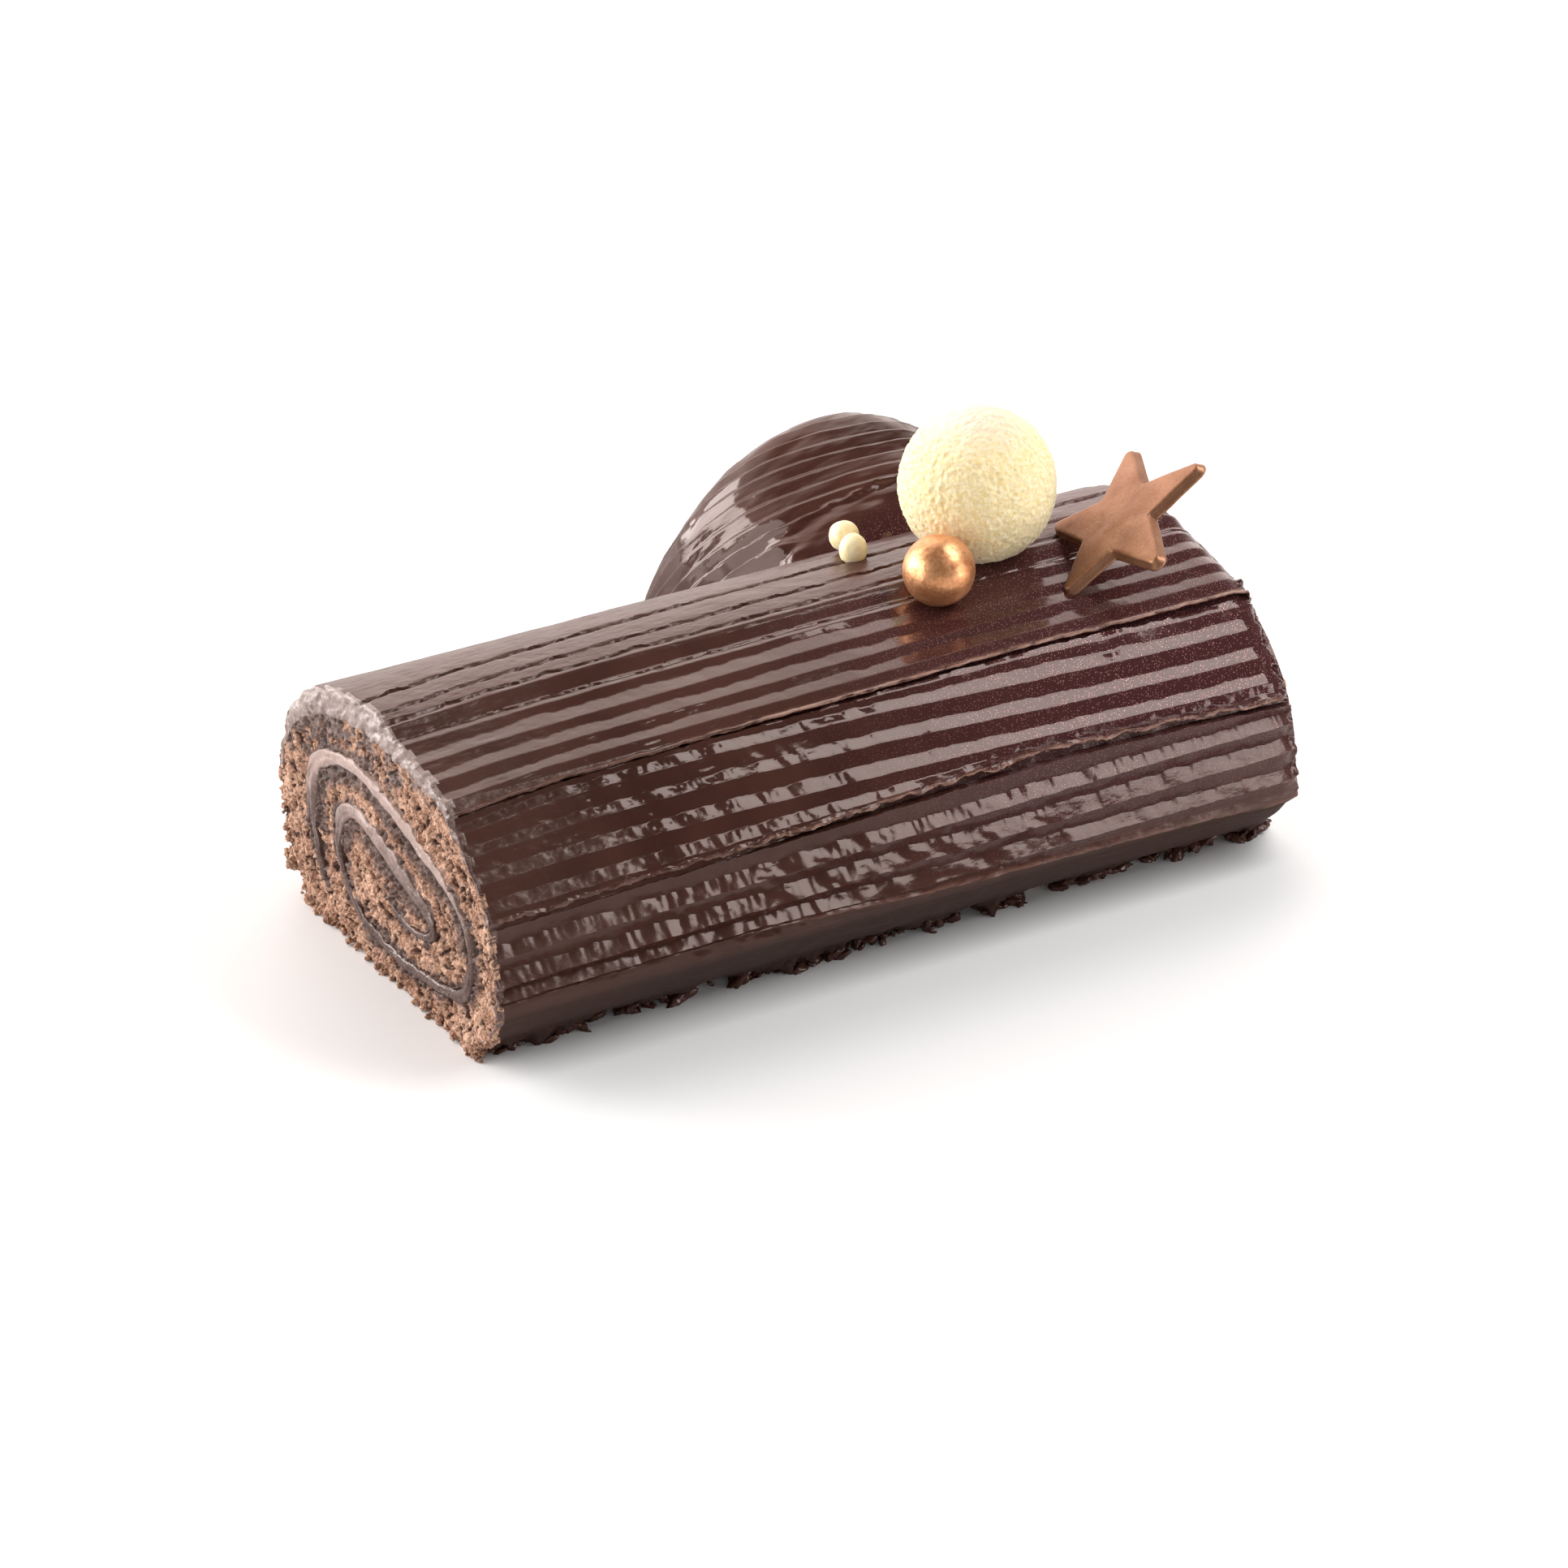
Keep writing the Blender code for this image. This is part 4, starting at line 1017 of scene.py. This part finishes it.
def build_pearls():
    unit, faces = ball_mesh(6)
    grow = GOLD_RADIUS * (1 + 0.012 * rough(920, *(unit.T * 1.6)) + 0.003 * rough(921, *(unit.T * 7)))
    make_piece("gold_sugar_pearl", unit * grow[:, None] + np.array(GOLD_AT), [faces], lustre_finish(),
               "gold_pearl")
    finish = sugar_finish()
    for seed, (name, node, centre, radius, tall) in enumerate(CREAM_PEARLS):
        unit, faces = ball_mesh(5)
        grow = radius * (1 + 0.03 * rough(930 + seed, *(unit.T * 1.5)))
        shape = unit * grow[:, None] * (1, 1, tall)
        make_piece(name, shape + np.array(centre), [faces], finish, node)


build_pearls()

# ---- Gold star -----------------------------------------------------------------------------------
# A chocolate star cast in a mould, so its face is flat, its edges are soft and its sides slope. It is
# brushed with bronze lustre and stuck into the icing by one arm.
STAR_AT, STAR_FACES, STAR_LEAN, STAR_SPIN = (78.5, -11.2, 75.3), 167.7, 40.5, -124.8
STAR_ARMS, STAR_WAIST, STAR_THICK, STAR_DRAFT, STAR_TIP = (21.5, 23.2, 24.0, 21.0, 20.2), 10.3, 2.6, 1.0, 1.6


def bronze_finish():
    material, shader, place = start_finish("bronze_lustre")
    fleck = place.noise(1.6, 4.0, 0.7)
    wash = place.noise(0.12, 2.0)
    colour = (fleck * 0.5 + wash * 0.5).ramp(0.35, 0.65).blend((0.24, 0.106, 0.054), (0.36, 0.182, 0.104))
    set_finish(shader, Base_Color=colour, Metallic=0.55 + fleck * 0.3, Roughness=0.33 + fleck * 0.14,
               Normal=place.bump(fleck * 0.05 + place.noise(0.3) * 0.1))
    return material


def star_outline(grow):
    """Closed (u, v) outline: rounded tips joined by straight flanks that meet at the waist."""
    corners = []
    for arm, length in enumerate(STAR_ARMS):
        centre = -2 * math.pi * arm / 5
        tip, radius = length - STAR_TIP, STAR_TIP + grow
        for turn in np.linspace(-70, 70, 9):
            angle = centre - math.radians(turn)
            corners.append((tip * math.cos(centre) + radius * math.cos(angle),
                            tip * math.sin(centre) + radius * math.sin(angle)))
        notch = centre - math.pi / 5
        corners.append(((STAR_WAIST + grow) * math.cos(notch), (STAR_WAIST + grow) * math.sin(notch)))
    ring = []
    for here, there in zip(corners, corners[1:] + corners[:1]):
        steps = max(1, round(math.dist(here, there) / 0.9))
        ring += [tuple(np.array(here) + (np.array(there) - here) * k / steps) for k in range(steps)]
    return ring


def grown(outline, margin):
    """The outline moved out by a margin, with the same number of points on every flank."""
    ahead, behind = np.roll(outline, -1, axis=0), np.roll(outline, 1, axis=0)
    way = ahead - behind
    way /= np.hypot(*way.T)[:, None]
    turns = np.sum(outline[:, 0] * ahead[:, 1] - ahead[:, 0] * outline[:, 1])
    return outline + np.stack([way[:, 1], -way[:, 0]], 1) * margin * np.sign(turns)


def build_star():
    outline = np.array(star_outline(0.0))
    face = -0.95
    levels = ((face, 0.0), (-0.6, -0.05), (-0.3, -0.18), (-0.08, -0.42), (0.0, -0.72), (0.3, -1.2), (0.6, -1.7),
              (STAR_DRAFT - 0.2, -STAR_THICK + 0.6), (STAR_DRAFT - 0.3, -STAR_THICK + 0.2), (STAR_DRAFT - 0.8, -STAR_THICK))
    rings = [np.column_stack([grown(outline, margin), np.full(len(outline), height)]) for margin, height in levels]
    count = len(outline)
    index = np.arange(len(rings) * count).reshape(len(rings), count)
    turned = np.roll(index, -1, axis=1)
    quads = np.stack([index[:-1], turned[:-1], turned[1:], index[1:]], -1).reshape(-1, 4)
    points, groups, total = [np.vstack(rings)], [quads], len(rings) * count
    for ring, edge in ((rings[0], index[0]), (rings[-1], index[-1])):
        net, triangles = fill_face([ring[:, :2]], 0.9, 6)
        number = np.concatenate([edge, total + np.arange(len(net) - count)])
        points.append(np.column_stack([net[count:], np.full(len(net) - count, ring[0, 2])]))
        groups.append(number[triangles])
        total += len(net) - count
    points = np.vstack(points)
    points[:, 2] += 0.10 * rough(940, points[:, 0] / 6, points[:, 1] / 6) + 0.02 * ripple(944, points[:, 0], points[:, 1])
    place = (Matrix.Translation(Vector(STAR_AT)) @ Matrix.Rotation(math.radians(STAR_FACES), 4, "Z")
             @ Matrix.Rotation(math.radians(STAR_LEAN), 4, "Y") @ Matrix.Rotation(math.radians(STAR_SPIN), 4, "Z"))
    points = np.column_stack([points, np.ones(len(points))]) @ np.array(place).T
    return make_piece("bronze_star", points[:, :3], groups, bronze_finish(), "gold_star", crease=55)


build_star()

# ---- Table, light and camera ---------------------------------------------------------------------
# A plain white table under soft studio light: a bright panel high on the right, soft boxes at the sides
# and a white wall behind. The front is kept dim so that the chocolate stays deep.


def build_table():
    mesh = bpy.data.meshes.new("table")
    mesh.from_pydata([(-6, -6, 0), (6, -6, 0), (6, 6, 0), (-6, 6, 0)], [], [(0, 1, 2, 3)])
    material, shader, place = start_finish("white_table")
    set_finish(shader, Base_Color=(0.82, 0.82, 0.82), Roughness=0.6)
    mesh.materials.append(material)
    table = bpy.data.objects.new("table", mesh)
    bpy.context.scene.collection.objects.link(table)


def soft_box(name, at, aim, size, radiance, glossy=True):
    """Square or oblong light panel that shines towards a point."""
    light = bpy.data.lights.new(name, "AREA")
    light.shape, (light.size, light.size_y) = "RECTANGLE", size
    light.energy = radiance * math.pi * size[0] * size[1]
    box = bpy.data.objects.new(name, light)
    box.location = at
    box.rotation_mode = "QUATERNION"
    box.rotation_quaternion = (Vector(aim) - Vector(at)).to_track_quat("-Z", "Y")
    box.visible_glossy = glossy
    bpy.context.scene.collection.objects.link(box)
    return box


def panel(name, corner, along, across, radiance):
    """Oblong light from a corner and its two edges; it shines to the right-hand side of along, across."""
    corner, along, across = Vector(corner), Vector(along), Vector(across)
    light = bpy.data.lights.new(name, "AREA")
    light.shape, light.size, light.size_y = "RECTANGLE", along.length, across.length
    light.energy = radiance * math.pi * along.length * across.length
    box = bpy.data.objects.new(name, light)
    turn = Matrix((along.normalized(), -across.normalized(), -along.cross(across).normalized())).transposed().to_4x4()
    box.matrix_world = Matrix.Translation(corner + (along + across) / 2) @ turn
    bpy.context.scene.collection.objects.link(box)
    return box


def build_light():
    world = bpy.data.worlds.new("studio")
    bpy.context.scene.world = world
    world.use_nodes = True
    wire = Wire(world.node_tree)
    way = wire.node("TexCoord", output=0)
    _, y, z = (wire.node("SeparateXYZ", {}, {0: way}, output=k) for k in range(3))
    glow = y.ramp(0.33, 0.68)
    colour = glow.blend((0.19, 0.185, 0.18), (2.4, 2.14, 2.03))
    world.node_tree.links.new(colour.output, world.node_tree.nodes["Background"].inputs["Color"])
    low, high = math.radians(83), math.radians(134)
    reach = 1.0
    near = Vector((0, reach * math.cos(low), 0.05 + reach * math.sin(low)))
    far = Vector((0, reach * math.cos(high), 0.05 + reach * math.sin(high)))
    start = Vector((0.39, 0, 0))
    panel("overhead_panel", near + start, (0.60, 0, 0), far - near, 7.6)
    soft_box("left_box", (-1.2, 0.28, 0.34), (0, 0, 0.04), (0.8, 0.9), 4.5)
    soft_box("left_key", (-0.80, 0.92, 0.34), (0, 0, 0.04), (0.62, 0.60), 11.0)
    soft_box("front_fill", (-0.5, -1.4, 0.30), (0, 0, 0.04), (1.6, 0.9), 0.9, glossy=False)
    soft_box("right_box", (0.95, -0.88, 0.19), (0, 0, 0.04), (0.6, 0.42), 6.0)
    soft_box("back_fill", (0.0, 1.1, 1.3), (0, 0, 0), (2.4, 1.2), 0.8, glossy=False)


def build_camera():
    data = bpy.data.cameras.new("camera")
    data.lens, data.sensor_width = 158.93, 36.0
    data.clip_start, data.clip_end = 0.05, 30
    camera = bpy.data.objects.new("camera", data)
    right, up, ahead = (0.86519, -0.50145, 0), (0.23585, 0.40694, 0.88248), (0.44252, 0.76351, -0.47035)
    turn = Matrix((right, up, [-part for part in ahead])).transposed().to_4x4()
    camera.matrix_world = Matrix.Translation((-0.70881, -1.21668, 0.77201)) @ turn
    bpy.context.scene.collection.objects.link(camera)
    bpy.context.scene.camera = camera


build_table()
build_light()
build_camera()
bpy.context.scene.view_settings.view_transform = "Standard"
